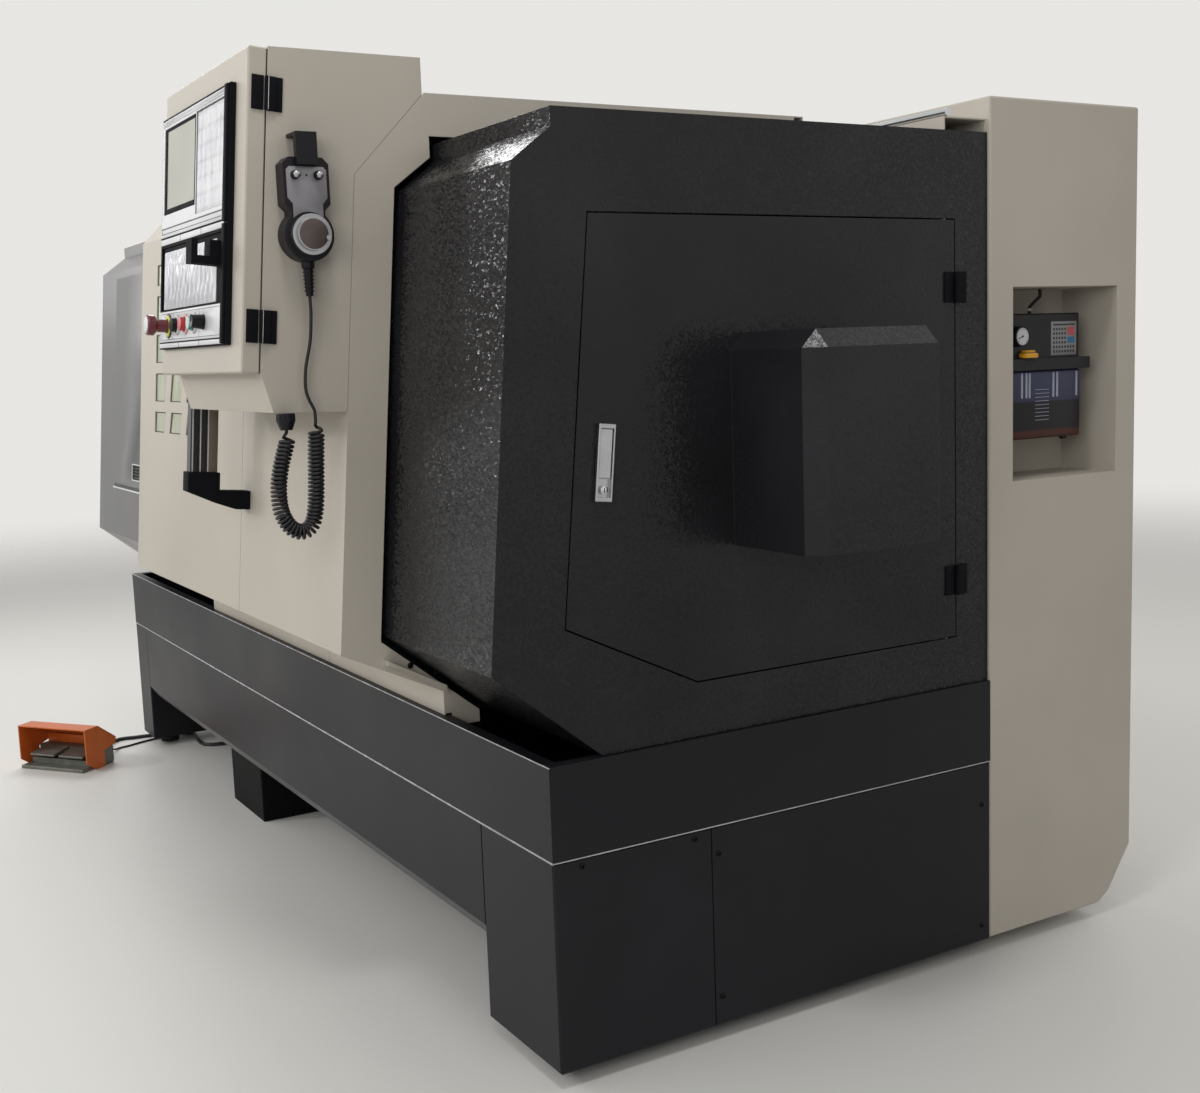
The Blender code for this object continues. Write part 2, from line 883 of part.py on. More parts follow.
# Main motor hung under the tray, its pulley and the belt
motor_right = -pulley_right + seat_gap * 10
main_motor = turned("main_motor", [
    (0, motor_right + motor_length), (motor_radius * 0.9, motor_right + motor_length),
    (motor_radius, motor_right + motor_length * 0.95), (motor_radius, motor_right),
    (motor_shaft_radius, motor_right), (motor_shaft_radius, -pulley_left), (0, -pulley_left)],
    "X", (0, spindle_y, motor_z), motor_blue_grey)
motor_foot = box("motor_foot", (motor_right + motor_length * 0.2, spindle_y - motor_radius * 0.8,
                                motor_z),
                 (motor_right + motor_length * 0.8, spindle_y + motor_radius * 0.8,
                  tray_bottom - seat_gap))
join(main_motor, motor_foot)
turned("motor_pulley", [
    (motor_pulley_radius, -pulley_right), (motor_pulley_radius, -pulley_left),
    (motor_shaft_radius + running_gap, -pulley_left),
    (motor_shaft_radius + running_gap, -pulley_right)], "X", (0, spindle_y, motor_z), cast_iron)


def belt_loop(offset):
    """Closed line round both pulleys, offset outwards."""
    span = spindle_z - motor_z
    slope = math.degrees(math.asin((spindle_pulley_radius - motor_pulley_radius) / span))
    upper = arc(spindle_axis, spindle_pulley_radius + offset, -slope, 180 + slope, 20)
    lower = arc((spindle_y, motor_z), motor_pulley_radius + offset, 180 + slope, 360 - slope, 16)
    return upper + lower


outline("drive_belt", [belt_loop(running_gap + belt_thickness),
                       belt_loop(running_gap)], "YZ",
        -pulley_left + seat_gap * 10, -pulley_right - seat_gap * 10, black_rubber)

# Feed screw in its two bearing blocks, which are cast on the bed, and its servo motor
screw_axis = (screw_y, screw_z)
for label, block_x in (("left", -screw_left), ("right", -screw_right)):
    block = box("screw_block_" + label,
                (block_x - screw_block_length / 2, screw_y - screw_block_width / 2,
                 screw_z - screw_block_width / 2),
                (block_x + screw_block_length / 2, bed_front + bed_wall / 2,
                 screw_z + screw_block_width / 2))
    join(bed, block)
    cut(bed, cylinder("screw_bore_" + label, "X", screw_axis, screw_radius + running_gap,
                      block_x - screw_block_length, block_x + screw_block_length))
screw_motor_x = -screw_right + screw_block_length / 2 + seat_gap
cylinder("ball_screw", "X", screw_axis, screw_radius,
         -screw_left - screw_block_length / 2, screw_motor_x - seat_gap * 2,
         steel, steps=20, origin=(-screw_left, *screw_axis))
box("feed_motor", (screw_motor_x, screw_y - feed_motor_size / 2,
                   screw_z - feed_motor_size / 2),
    (screw_motor_x + feed_motor_length, screw_y + feed_motor_size / 2,
     screw_z + feed_motor_size / 2), motor_blue_grey, bevel=pedestal_edge * 3)

# Carriage: saddle on the ways, apron with the screw nut, dovetail across its top
carriage_left = -carriage_centre - carriage_length / 2
carriage_right = -carriage_centre + carriage_length / 2
saddle_front = screw_y - carriage_apron_thickness / 2
saddle_back = bed_back + carriage_overhang
saddle_top = way_height + carriage_thickness
apron_back = screw_y + carriage_apron_thickness / 2
saddle_section = way_seat(apron_back, saddle_back)
saddle_section += [(apron_back, carriage_apron_bottom), (saddle_front, carriage_apron_bottom),
                   (saddle_front, saddle_top), (saddle_back, saddle_top)]
carriage = outline("carriage", [saddle_section], "YZ", carriage_left, carriage_right, cast_iron,
                   origin=(-carriage_centre, spindle_y, way_height))
cut(carriage, cylinder("nut_bore", "X", screw_axis, screw_radius + running_gap,
                       carriage_left - overrun, carriage_right + overrun, steps=20))


def dovetail(spread, foot_z):
    """Dovetail section across the slide, from its left foot over the top to its right foot."""
    foot = dovetail_width / 2 - dovetail_height / 2 + spread
    head = dovetail_width / 2 + spread
    top = saddle_top + dovetail_height + spread
    return [(-carriage_centre - foot, foot_z), (-carriage_centre - head, top),
            (-carriage_centre + head, top), (-carriage_centre + foot, foot_z)]


rib_section = dovetail(0, saddle_top)
rib_section += [(x, saddle_top - sheet) for x in (rib_section[3][0], rib_section[0][0])]
dovetail_rib = outline("dovetail_rib", [rib_section], "XZ", saddle_front, saddle_back)
join(carriage, dovetail_rib)

# Cross slide on the dovetail, and the square tool turret on its pivot
slide_foot = saddle_top + seat_gap
slide_top = slide_foot + slide_height
slide_left = -carriage_centre - slide_width / 2
slide_right = -carriage_centre + slide_width / 2
slide_front = slide_centre_y - slide_length / 2
cross_slide = outline("cross_slide", [[(slide_left, slide_foot)] + dovetail(running_gap, slide_foot)
                                      + [(slide_right, slide_foot), (slide_right, slide_top),
                                         (slide_left, slide_top)]],
                      "XZ", slide_front, slide_front + slide_length, cast_iron,
                      origin=(-carriage_centre, slide_centre_y, slide_foot))
turret_axis = (-carriage_centre, slide_centre_y)
turret_foot = slide_top + turret_base_height
turret_base = cylinder("turret_base", "Z", turret_axis, turret_size * 0.48,
                       slide_top - sheet, turret_foot)
turret_top = turret_foot + seat_gap + turret_height * 2
turret_hub = cylinder("turret_hub", "Z", turret_axis, turret_hub_radius,
                      slide_top - sheet, turret_top + turret_base_height)
join(cross_slide, turret_base)
join(cross_slide, turret_hub)
half = turret_size / 2
turret = box("turret", (-carriage_centre - half, slide_centre_y - half, turret_foot + seat_gap),
             (-carriage_centre + half, slide_centre_y + half, turret_top), steel,
             bevel=sheet * 2, origin=(*turret_axis, turret_foot))
slot_low = turret_foot + seat_gap + turret_height - turret_slot / 2
for number in range(4):
    turn = Matrix.Translation((*turret_axis, 0)) @ Matrix.Rotation(number * math.pi / 2, 4, "Z")
    slot = box("tool_slot_%d" % (number + 1),
               (-half - overrun, half - turret_slot, slot_low),
               (half + overrun, half + overrun, slot_low + turret_slot))
    slot.matrix_world = turn
    cut(turret, slot)
    bit = box("tool_bit_%d" % (number + 1),
              (half + tool_reach - tool_length, half - turret_slot - sheet, slot_low - sheet),
              (half + tool_reach, half - turret_slot + tool_width, slot_low + tool_width))
    bit.matrix_world = turn
    join(turret, bit)
cut(turret, cylinder("turret_bore", "Z", turret_axis, turret_hub_radius + running_gap,
                     turret_foot - overrun, turret_top + overrun))

# Tailstock: casting that waists in above its base, with the quill barrel
tail_left = -tailstock_left
tail_right = -tailstock_left + tailstock_length
tail_front = spindle_y - tailstock_width / 2
tail_back = spindle_y + tailstock_width / 2
tail_shelf = way_height + tailstock_base_height
waist_top = spindle_z - barrel_radius / 3
tailstock = outline("tailstock", [way_seat(tail_front, tail_back) + [
    (tail_front, tail_shelf), (spindle_y - tailstock_waist / 2, tail_shelf + tailstock_waist / 2),
    (spindle_y - tailstock_waist / 2, waist_top), (spindle_y + tailstock_waist / 2, waist_top),
    (spindle_y + tailstock_waist / 2, tail_shelf + tailstock_waist / 2),
    (tail_back, tail_shelf)]], "YZ", tail_left, tail_right, cast_iron,
    origin=(tail_right, spindle_y, way_height))
join(tailstock, cylinder("barrel", "X", spindle_axis, barrel_radius,
                         tail_left - barrel_overhang, tail_right + barrel_overhang))
quill_end = tail_right + barrel_overhang - 0.5 * barrel_radius
cut(tailstock, cylinder("quill_bore", "X", spindle_axis, quill_radius + running_gap,
                        tail_left - 2 * barrel_overhang, quill_end))
cut(tailstock, cylinder("shaft_bore", "X", spindle_axis, screw_shaft_radius + running_gap,
                        quill_end - overrun, tail_right + 2 * barrel_overhang))
quill_face = tail_left - barrel_overhang - quill_reach
quill_back = quill_end - quill_radius * 2
turned("quill", [
    (0, quill_back), (quill_radius, quill_back), (quill_radius, quill_face),
    (centre_radius, quill_face), (centre_radius, quill_face - centre_length / 3),
    (0, quill_face - centre_length)], "X", (0, *spindle_axis), steel)

# Tail hand wheel with its shaft, spokes and grip, in the bulge of the tail door
wheel_right = handwheel_x + 2 * handwheel_rim
tail_handwheel = turned("tail_handwheel", [
    (0, wheel_right + handwheel_rim), (handwheel_hub, wheel_right + handwheel_rim),
    (handwheel_hub, handwheel_x), (screw_shaft_radius, handwheel_x),
    (screw_shaft_radius, quill_end - overrun / 2), (0, quill_end - overrun / 2)],
    "X", (0, *spindle_axis), steel)
wheel_rim = turned("wheel_rim", [
    (handwheel_radius + handwheel_rim * math.cos(a), wheel_right - handwheel_rim
     + handwheel_rim * math.sin(a)) for a in (math.radians(90 - 60 * i) for i in range(6))],
    "X", (0, *spindle_axis))
join(tail_handwheel, wheel_rim)
for number in range(3):
    turn = Matrix.Translation((0, *spindle_axis)) @ Matrix.Rotation(
        2 * math.pi * number / 3, 4, "X")
    spoke = cylinder("spoke_%d" % (number + 1), "Z", (handwheel_x + handwheel_rim, 0),
                     handwheel_rim * 0.7, 0, handwheel_radius, steps=12)
    spoke.matrix_world = turn
    join(tail_handwheel, spoke)
grip = cylinder("wheel_grip", "X", (spindle_y, spindle_z + handwheel_radius), handwheel_rim,
                wheel_right - handwheel_rim, wheel_right + handwheel_grip, steps=16)
join(tail_handwheel, grip)


# End covers: the same folded section closed by an end sheet
def cover_line(grow=0.0):
    """Front edge of the end covers from the tray to the roof, grown outwards."""
    return [(cover_foot_y - grow, tray_seat_z),
            (cover_belly_y - grow, cover_belly_z - grow / 2),
            (cover_shoulder_y - grow, cover_shoulder_z + grow / 2),
            (cover_brow_y - grow, cover_brow_z + grow / 2),
            (cover_brow_y - grow, cover_top + grow)]


cover_back = rear_wall_y - seat_gap


def cover(name, open_x, end_x):
    line = cover_line() + [(cover_back, cover_top)]
    faces = [((open_x, *a), (open_x, *b), (end_x, *b), (end_x, *a))
             for a, b in zip(line, line[1:])]
    corner = [(tray_depth, cover_top), (tray_depth, tray_seat_z)]
    faces.append([(end_x, *point) for point in line + corner])
    return sheet_metal(name, faces, sheet, charcoal)


tail_end = -cover_setback
head_end = -tray_length + cover_setback
tail_cover = cover("tail_cover", -tail_cover_length, tail_end)
cover("headstock_cover", head_end + head_cover_length, head_end)

# Tail door: folded sheet with a deep bulge over the hand wheel
door_outline = [(door_front_low_y, door_front_low_z), (door_front_top_y, door_top_z),
                (door_hinge_side_y, door_top_z), (door_hinge_side_y, door_bottom_z),
                (door_toe_y, door_bottom_z)]
door_middle = (sum(p[0] for p in door_outline) / len(door_outline),
               sum(p[1] for p in door_outline) / len(door_outline))


def grown(points, gap):
    """A convex outline moved outwards by a gap on every side."""
    moved = []
    count = len(points)
    for i, point in enumerate(points):
        before = Vector(points[i - 1])
        here = Vector(point)
        after = Vector(points[(i + 1) % count])
        first = (here - before).normalized()
        second = (after - here).normalized()
        out_first = Vector((first.y, -first.x))
        out_second = Vector((second.y, -second.x))
        if out_first.dot(here - Vector(door_middle)) < 0:
            out_first, out_second = -out_first, -out_second
        bisector = (out_first + out_second).normalized()
        moved.append(tuple(here + bisector * gap / bisector.dot(out_first)))
    return moved


door_hole = outline("door_hole", [grown(door_outline, door_gap)], "YZ",
                    tail_end - overrun, tail_end + overrun)
cut(tail_cover, door_hole)
hinge_x = tail_end + hinge_leaf_thickness + hinge_pin_radius
hinge_y = door_hinge_side_y + door_gap / 2
fold_end_y = rear_wall_y - sheet
door_loop = door_outline[:2] + [(fold_end_y, door_top_z)] + door_outline[2:4]
door_loop += [(fold_end_y, door_bottom_z), door_outline[4]]
door_front = [(tail_end, *point) for point in door_loop]
door_behind = [(tail_end - door_fold, *point) for point in door_loop]
door_folds = band(door_front, door_behind)
del door_folds[2:5]
tail_door = sheet_metal("tail_door", [door_front] + door_folds, sheet,
                        charcoal, origin=(hinge_x, hinge_y, hinge_lower_z))
bulge_hole = box("bulge_hole", (tail_end - overrun / 2, bulge_left_y + sheet, bulge_bottom_z + sheet),
                 (tail_end + overrun, bulge_right_y - sheet, bulge_top_z - sheet))
cut(tail_door, bulge_hole)
bulge_front = tail_end + bulge_depth
bulge_step = bulge_front - bulge_chamfer
left_in = bulge_left_y + bulge_chamfer
top_in = bulge_top_z - bulge_chamfer
root_x = tail_end - sheet / 2
bulge_faces = [
    [(bulge_front, left_in, bulge_bottom_z), (bulge_front, bulge_right_y, bulge_bottom_z),
     (bulge_front, bulge_right_y, top_in), (bulge_front, left_in, top_in)],
    [(bulge_step, bulge_left_y, bulge_bottom_z), (bulge_front, left_in, bulge_bottom_z),
     (bulge_front, left_in, top_in), (bulge_step, bulge_left_y, top_in)],
    [(bulge_front, left_in, top_in), (bulge_front, bulge_right_y, top_in),
     (bulge_step, bulge_right_y, bulge_top_z), (bulge_step, left_in, bulge_top_z)],
    [(bulge_step, bulge_left_y, top_in), (bulge_front, left_in, top_in),
     (bulge_step, left_in, bulge_top_z)],
    [(root_x, bulge_left_y, bulge_bottom_z), (bulge_step, bulge_left_y, bulge_bottom_z),
     (bulge_step, bulge_left_y, top_in), (root_x, bulge_left_y, top_in)],
    [(root_x, bulge_left_y, top_in), (bulge_step, bulge_left_y, top_in),
     (bulge_step, left_in, bulge_top_z), (root_x, left_in, bulge_top_z)],
    [(root_x, left_in, bulge_top_z), (bulge_step, left_in, bulge_top_z),
     (bulge_step, bulge_right_y, bulge_top_z), (root_x, bulge_right_y, bulge_top_z)],
    [(root_x, bulge_right_y, bulge_bottom_z), (bulge_front, bulge_right_y, bulge_bottom_z),
     (bulge_front, bulge_right_y, top_in), (bulge_step, bulge_right_y, bulge_top_z),
     (root_x, bulge_right_y, bulge_top_z)],
    [(root_x, bulge_left_y, bulge_bottom_z), (bulge_step, bulge_left_y, bulge_bottom_z),
     (bulge_front, left_in, bulge_bottom_z), (bulge_front, bulge_right_y, bulge_bottom_z),
     (root_x, bulge_right_y, bulge_bottom_z)]]
bulge = sheet_metal("bulge", bulge_faces, 2 * sheet)
join(tail_door, bulge)

# Tail door hinges: a leaf and pin on the cover, the other leaf on the door
for label, hinge_z in (("upper", hinge_upper_z), ("lower", hinge_lower_z)):
    low = hinge_z - hinge_height / 2
    high = hinge_z + hinge_height / 2
    leaf_back = tail_end - sheet / 2
    leaf_front = tail_end + hinge_leaf_thickness
    fixed_leaf = box("tail_hinge_%s_leaf" % label,
                     (leaf_back, hinge_y + door_gap, low - hinge_step),
                     (leaf_front, hinge_y + hinge_leaf, high + hinge_step))
    pin = cylinder("tail_hinge_%s_pin" % label, "Z", (hinge_x, hinge_y), hinge_pin_radius,
                   low, high, steps=16)
    strap = box("tail_hinge_%s_strap" % label,
                (leaf_front - hinge_leaf_thickness / 2, hinge_y, low + hinge_step),
                (leaf_front + hinge_pin_radius, hinge_y + hinge_leaf / 2, high - hinge_step))
    join(tail_cover, fixed_leaf)
    join(tail_cover, strap)
    join(tail_cover, pin)
    door_leaf = box("tail_hinge_%s_door_leaf" % label,
                    (leaf_back, hinge_y - hinge_leaf, low),
                    (leaf_front, hinge_y - hinge_pin_radius - door_gap / 2, high))
    join(tail_door, door_leaf)

# Flush swing-lever latch, tilted along the door's sloping edge
latch_tilt = -math.atan2(door_front_top_y - door_front_low_y, door_top_z - door_front_low_z)
latch_axis = bpy.data.objects.new("latch_frame", None)
parts.objects.link(latch_axis)
latch_axis.parent = machine
latch_axis.location = (tail_end + seat_gap, latch_y, latch_z)
latch_axis.rotation_euler = (latch_tilt, 0, 0)
latch_dish = box("latch_dish", (0, -latch_width / 2, -latch_height / 2),
                 (latch_proud, latch_width / 2, latch_height / 2), aluminium,
                 bevel=seat_gap * 4, parent=latch_axis)
latch_pocket = box("latch_pocket", (latch_rim / 2, -latch_width / 2 + latch_rim,
                                    -latch_height / 2 + latch_rim * 2),
                   (latch_proud + overrun, latch_width / 2 - latch_rim,
                    latch_height / 2 - latch_rim * 2), parent=latch_axis)
cut(latch_dish, latch_pocket)
lever_foot = latch_rim / 2 + seat_gap
lever_top = latch_height / 2 - latch_rim * 2 - lever_clearance
box("latch_handle",
    (lever_foot, -latch_width / 2 + latch_rim + lever_clearance,
     -latch_height / 5),
    (lever_foot + lever_thickness, latch_width / 2 - latch_rim - lever_clearance,
     lever_top), aluminium, bevel=seat_gap * 4,
    origin=(lever_foot + lever_thickness, 0, lever_top), parent=latch_axis)

# Rear wall: a long box section standing on the tray's rear rim, with the hoods' rail
rear_left = head_end + sheet + seat_gap
rear_right = tail_end - sheet - seat_gap
rear_outer = [(rear_wall_y, tray_seat_z), (tray_depth, tray_seat_z),
              (tray_depth, rear_wall_top), (rear_wall_y, rear_wall_top)]
rear_inner = [(rear_wall_y + sheet, tray_seat_z + sheet), (tray_depth - sheet, tray_seat_z + sheet),
              (tray_depth - sheet, rear_wall_top - sheet),
              (rear_wall_y + sheet, rear_wall_top - sheet)]
outline("rear_wall", [rear_outer, rear_inner], "YZ", rear_left, rear_right, beige)
rail_axis = (rear_wall_y + rail_inset, rear_wall_top + seat_gap + rail_radius)
cylinder("upper_rail", "X", rail_axis, rail_radius, rear_left, rear_right, steel,
         steps=16)

# Hoods: folded shells that slide over the end covers
rail_top = rail_axis[1] + rail_radius + seat_gap
hood_line = [(hood_lip_y, tray_seat_z), (hood_lip_y, tray_seat_z + hood_lip_height),
             (hood_belly_y, hood_belly_z), (hood_brow_y, hood_brow_z),
             (hood_roof_y, hood_roof_z), (rail_axis[0], hood_roof_z), (rail_axis[0], rail_top)]


def hood(name, side_x, seam_x, side):
    """Shell from the seam to its side sheet, which is cut round the end cover."""
    faces = [((seam_x, *a), (seam_x, *b), (side_x, *b), (side_x, *a))
             for a, b in zip(hood_line, hood_line[1:])]
    obj = sheet_metal(name, faces, sheet, beige)
    inner = cover_line(hood_clearance)
    foot_slope = (tray_seat_z - cover_belly_z) / (cover_foot_y - cover_belly_y)
    tab_top = inner[1][1] + (hood_tab_y - inner[1][0]) * foot_slope
    side_loop = [(hood_lip_y, tray_seat_z + sheet), *hood_line[1:5],
                 (rear_wall_y - hood_clearance, hood_roof_z),
                 (rear_wall_y - hood_clearance, cover_top + hood_clearance)]
    side_loop += inner[::-1][:-1] + [(hood_tab_y, tab_top), (hood_tab_y, hood_tab_z),
                                     (rim_width + 2 * sheet, hood_tab_z),
                                     (rim_width + 2 * sheet, tray_seat_z + sheet)]
    sheet_side = outline(name + "_side", [side_loop], "YZ", side_x, side_x - side * sheet)
    join(obj, sheet_side)
    return obj


right_hood = hood("right_hood", -hood_right, -hood_seam, 1)
left_hood = hood("left_hood", -hood_left, -hood_seam - hood_seam_gap, -1)


# Leaning frame of a front wall: x along the machine, y inwards, z up the slope
def leaning_frame(name, place):
    empty = bpy.data.objects.new(name, None)
    parts.objects.link(empty)
    empty.parent = machine
    empty.location = place
    empty.rotation_euler = (-lean, 0, 0)
    return empty


# Bent ledge along the foot of each side sheet
ledge_foot_z = tray_seat_z + hood_lip_height
ledge_front_y = hood_belly_y * ledge_share
ledge_front_z = ledge_foot_z + (hood_belly_z - ledge_foot_z) * ledge_climb
for obj, side_x, side in ((right_hood, -hood_right, 1), (left_hood, -hood_left, -1)):
    near = side_x - side * sheet / 2
    far = side_x + side * hood_ledge
    low, high = sorted((near, far))
    rise = hood_ledge_height
    ledge = outline(obj.name + "_ledge", [[
        (ledge_front_y, ledge_front_z + rise), (ledge_front_y, ledge_front_z + sheet),
        (hood_lip_y, ledge_foot_z + sheet), (hood_lip_y, ledge_foot_z + sheet + rise)]],
        "YZ", low, high)
    join(obj, ledge)

# Window grid in the left hood, with its glazing behind
wall_slope = (hood_brow_y - hood_belly_y) / (hood_brow_z - hood_belly_z)
pane_wall_y = hood_belly_y + (pane_bottom_z - hood_belly_z) * wall_slope
window_axis = leaning_frame("window_frame_axis", (-pane_first_x, pane_wall_y, pane_bottom_z))
grid_height = sum(pane_row_heights) + pane_row_gap * (len(pane_row_heights) - 1)
grid_width = pane_pitch * (pane_columns - 1) + pane_width
window_grid = box("window_grid", (-window_frame_margin, sheet / 2, -window_frame_margin),
                  (grid_width + window_frame_margin, sheet / 2 + window_frame_depth,
                   grid_height + window_frame_margin), parent=window_axis)
join(left_hood, window_grid)
pane_loops = []
row_z = 0
for row_height in pane_row_heights:
    for column in range(pane_columns):
        left = pane_pitch * column
        lower_lean = 0 if column == 0 else pane_slant
        upper_lean = 0 if column == pane_columns - 1 else pane_slant
        pane_loops.append([(left - lower_lean, row_z), (left + pane_width - upper_lean, row_z),
                           (left + pane_width + upper_lean, row_z + row_height),
                           (left + lower_lean, row_z + row_height)])
    row_z += row_height + pane_row_gap
pane_cutter = outline("pane_cutter", pane_loops, "XZ", -overrun,
                      window_frame_depth + overrun, parent=window_axis)
cut(left_hood, pane_cutter)
window_back = sheet / 2 + window_frame_depth + seat_gap
box("window_pane", (-window_frame_margin / 2, window_back, -window_frame_margin / 2),
    (grid_width + window_frame_margin / 2, window_back + glass_thickness,
     grid_height + window_frame_margin / 2), glass, parent=window_axis)

# Control box on the right hood: hollow housing behind a thick hinged door
box_height = (box_top - box_front_low_z) / math.cos(lean)
box_width = box_left - hood_right
box_front_low_y = box_front_top_y - box_height * math.sin(lean)
panel_axis = leaning_frame("panel_axis", (-hood_right, box_front_low_y, box_front_low_z))
body_front = door_thickness + door_seam


def box_front(z):
    """Depth of the housing's front edge at a height."""
    return (box_front_low_y + (z - box_front_low_z) * math.tan(lean)
            + body_front / math.cos(lean))


wall_at_floor = hood_belly_y + (box_floor_z - hood_belly_z) * wall_slope
brow_slope = (hood_roof_y - hood_brow_y) / (hood_roof_z - hood_brow_z)
back_z = hood_brow_z + (box_back_top_y - hood_brow_y) / brow_slope
box_section = [(box_front(box_front_low_z), box_front_low_z), (box_toe_y, box_toe_z),
               (wall_at_floor - seat_gap * 2, box_floor_z),
               (hood_brow_y - seat_gap * 2, hood_brow_z),
               (box_back_top_y - seat_gap * 3, back_z), (box_back_top_y - seat_gap * 3, box_top),
               (box_front(box_top), box_top)]
control_housing = outline("control_housing", [box_section], "YZ", -box_left, -hood_right, beige)
room_section = [(box_front(box_front_low_z) - overrun, box_front_low_z + box_wall),
                (box_front(box_front_low_z) + box_wall, box_front_low_z + box_wall),
                (box_toe_y + box_wall, box_toe_z + box_wall * 2),
                (wall_at_floor - box_wall * 2, box_floor_z + box_wall * 2),
                (hood_brow_y - box_wall * 3, hood_brow_z),
                (box_back_top_y - box_wall * 4, back_z),
                (box_back_top_y - box_wall * 4, box_top - box_wall),
                (box_front(box_top) - overrun, box_top - box_wall)]
room = outline("control_room", [room_section], "YZ", -box_left + box_wall * 2,
               -hood_right - box_wall * 2)
cut(control_housing, room)
hinge_side_x = hinge_leaf_thickness + hinge_pin_radius / 2
pin_y = door_thickness + door_seam / 2
control_door = box("control_door", (-box_width, 0, 0), (0, door_thickness, box_height), beige,
                   bevel=sheet, origin=(hinge_side_x, pin_y, 0), parent=panel_axis)
cut(control_door, box("control_door_hollow", (-box_width + box_wall, box_wall, box_wall),
                      (-box_wall, door_thickness + overrun, box_height - box_wall),
                      parent=panel_axis))
for label, low in (("lower", control_hinge_low), ("upper", control_hinge_high)):
    high = low + control_hinge_height
    knuckle = cylinder("control_hinge_%s_pin" % label, "Z", (hinge_side_x, pin_y),
                       hinge_pin_radius, low, high, steps=16, parent=panel_axis)
    fixed = box("control_hinge_%s_leaf" % label,
                (-box_wall / 2, body_front + sheet / 2, low - hinge_step),
                (hinge_leaf_thickness, body_front + control_hinge_leaf, high + hinge_step),
                parent=panel_axis)
    strap = box("control_hinge_%s_strap" % label,
                (hinge_leaf_thickness / 2, pin_y, low + hinge_step),
                (hinge_side_x + hinge_pin_radius / 2, body_front + control_hinge_leaf / 2,
                 high - hinge_step), parent=panel_axis)
    join(control_housing, fixed)
    join(control_housing, strap)
    join(control_housing, knuckle)
    leaf = box("control_hinge_%s_door_leaf" % label,
               (-sheet / 2, door_thickness - control_hinge_leaf, low),
               (hinge_leaf_thickness, pin_y - hinge_pin_radius - door_gap / 2, high),
               parent=panel_axis)
    join(control_door, leaf)

# Panel frame on the door: a thick plate with pockets, button wells and the pendant clip
panel_left = -panel_right - panel_width
face_y = -seat_gap - panel_depth
panel_frame = box("panel_frame", (panel_left, face_y, panel_bottom),
                  (-panel_right, -seat_gap, panel_bottom + panel_height), black_plastic,
                  bevel=seat_gap * 4, parent=panel_axis)


def pocket(right, width, bottom, height):
    return ((-right - width, face_y - overrun, bottom),
            (-right, face_y + pocket_depth, bottom + height))


pockets = mesh_object("panel_pockets", boxes_mesh([
    pocket(screen_right, screen_width, screen_bottom, screen_height),
    pocket(keys_right, keys_width, keys_bottom, keys_height),
    pocket(membrane_right, membrane_width, membrane_bottom, membrane_height)]),
    parent=panel_axis)
cut(panel_frame, pockets)
box("screen", (-screen_right - screen_width + seat_gap, face_y + seat_gap * 4,
               screen_bottom + seat_gap),
    (-screen_right - seat_gap, face_y + pocket_depth - seat_gap,
     screen_bottom + screen_height - seat_gap), screen_glass, parent=panel_axis)
clip_front = face_y - clip_reach
clip_top = clip_bottom + clip_height
clip_root = face_y + pocket_depth + sheet
clip = outline("pendant_clip", [[
    (clip_root, clip_bottom), (clip_root, clip_top),
    (face_y - clip_wall * 2, clip_top), (face_y - clip_wall * 2, clip_top - clip_slot_depth),
    (clip_front + clip_wall, clip_top - clip_slot_depth), (clip_front + clip_wall, clip_top),
    (clip_front, clip_top), (clip_front, clip_bottom)]],
    "YZ", -clip_right - clip_width, -clip_right, parent=panel_axis)
join(panel_frame, clip)

# Buttons: turned pieces in wells, with a collar round each
wells = []


def well(right, radius, depth):
    """Collar standing on the panel and a blind hole for a stem."""
    centre = (-right, button_row)
    collar = cylinder("collar_%d" % len(wells), "Y", centre, radius + collar_width,
                      face_y - collar_height, face_y + sheet / 2, steps=24, parent=panel_axis)
    join(panel_frame, collar)
    hole = cylinder("well_%d" % len(wells), "Y", centre, radius + running_gap,
                    face_y - collar_height - overrun, face_y + depth, steps=24,
                    parent=panel_axis)
    cut(panel_frame, hole)
    wells.append(centre)


def button(name, right, profile, finish):
    """Turned button, screwed about its own axis, pointing out of the panel."""
    return turned(name, profile, "Y", (-right, 0, button_row), finish, steps=24,
                  parent=panel_axis)


stem_foot = face_y + sheet
well(estop_right, estop_stem_radius, panel_depth - sheet)
estop_face = face_y - collar_height - estop_height
button("estop_button", estop_right, [
    (0, stem_foot), (estop_stem_radius, stem_foot),
    (estop_stem_radius, estop_face + estop_cap + estop_cap / 2),
    (estop_radius, estop_face + estop_cap), (estop_radius, estop_face + sheet),
    (estop_radius - sheet, estop_face), (0, estop_face)], signal_red)
button_face = face_y - button_height
for place, name, finish in ((1, "black_button", black_plastic), (2, "stop_button", signal_red),
                            (3, "start_button", start_green)):
    right = estop_right - button_pitch * place - button_radius / 2
    well(right, button_radius, panel_depth - sheet)
    button(name, right, [
        (0, stem_foot), (button_radius, stem_foot), (button_radius, button_face + sheet / 3),
        (button_radius - sheet / 3, button_face), (0, button_face)], finish)
knob_right = estop_right - button_pitch * 4 - button_radius / 2
knob_stem = knob_radius * 0.6
well(knob_right, knob_stem, panel_depth - sheet)
knob_face = face_y - collar_height - knob_height
mode_knob = button("mode_knob", knob_right, [
    (0, stem_foot), (knob_stem, stem_foot), (knob_stem, face_y - collar_height - seat_gap),
    (knob_radius, face_y - collar_height - seat_gap), (knob_radius * 0.85, knob_face), (0, knob_face)],
    black_plastic)
pointer = box("knob_pointer", (-knob_right - sheet / 2, knob_face - sheet / 2, button_row),
              (-knob_right + sheet / 2, face_y - collar_height - knob_height / 3,
               button_row + knob_radius * 0.9), parent=panel_axis)
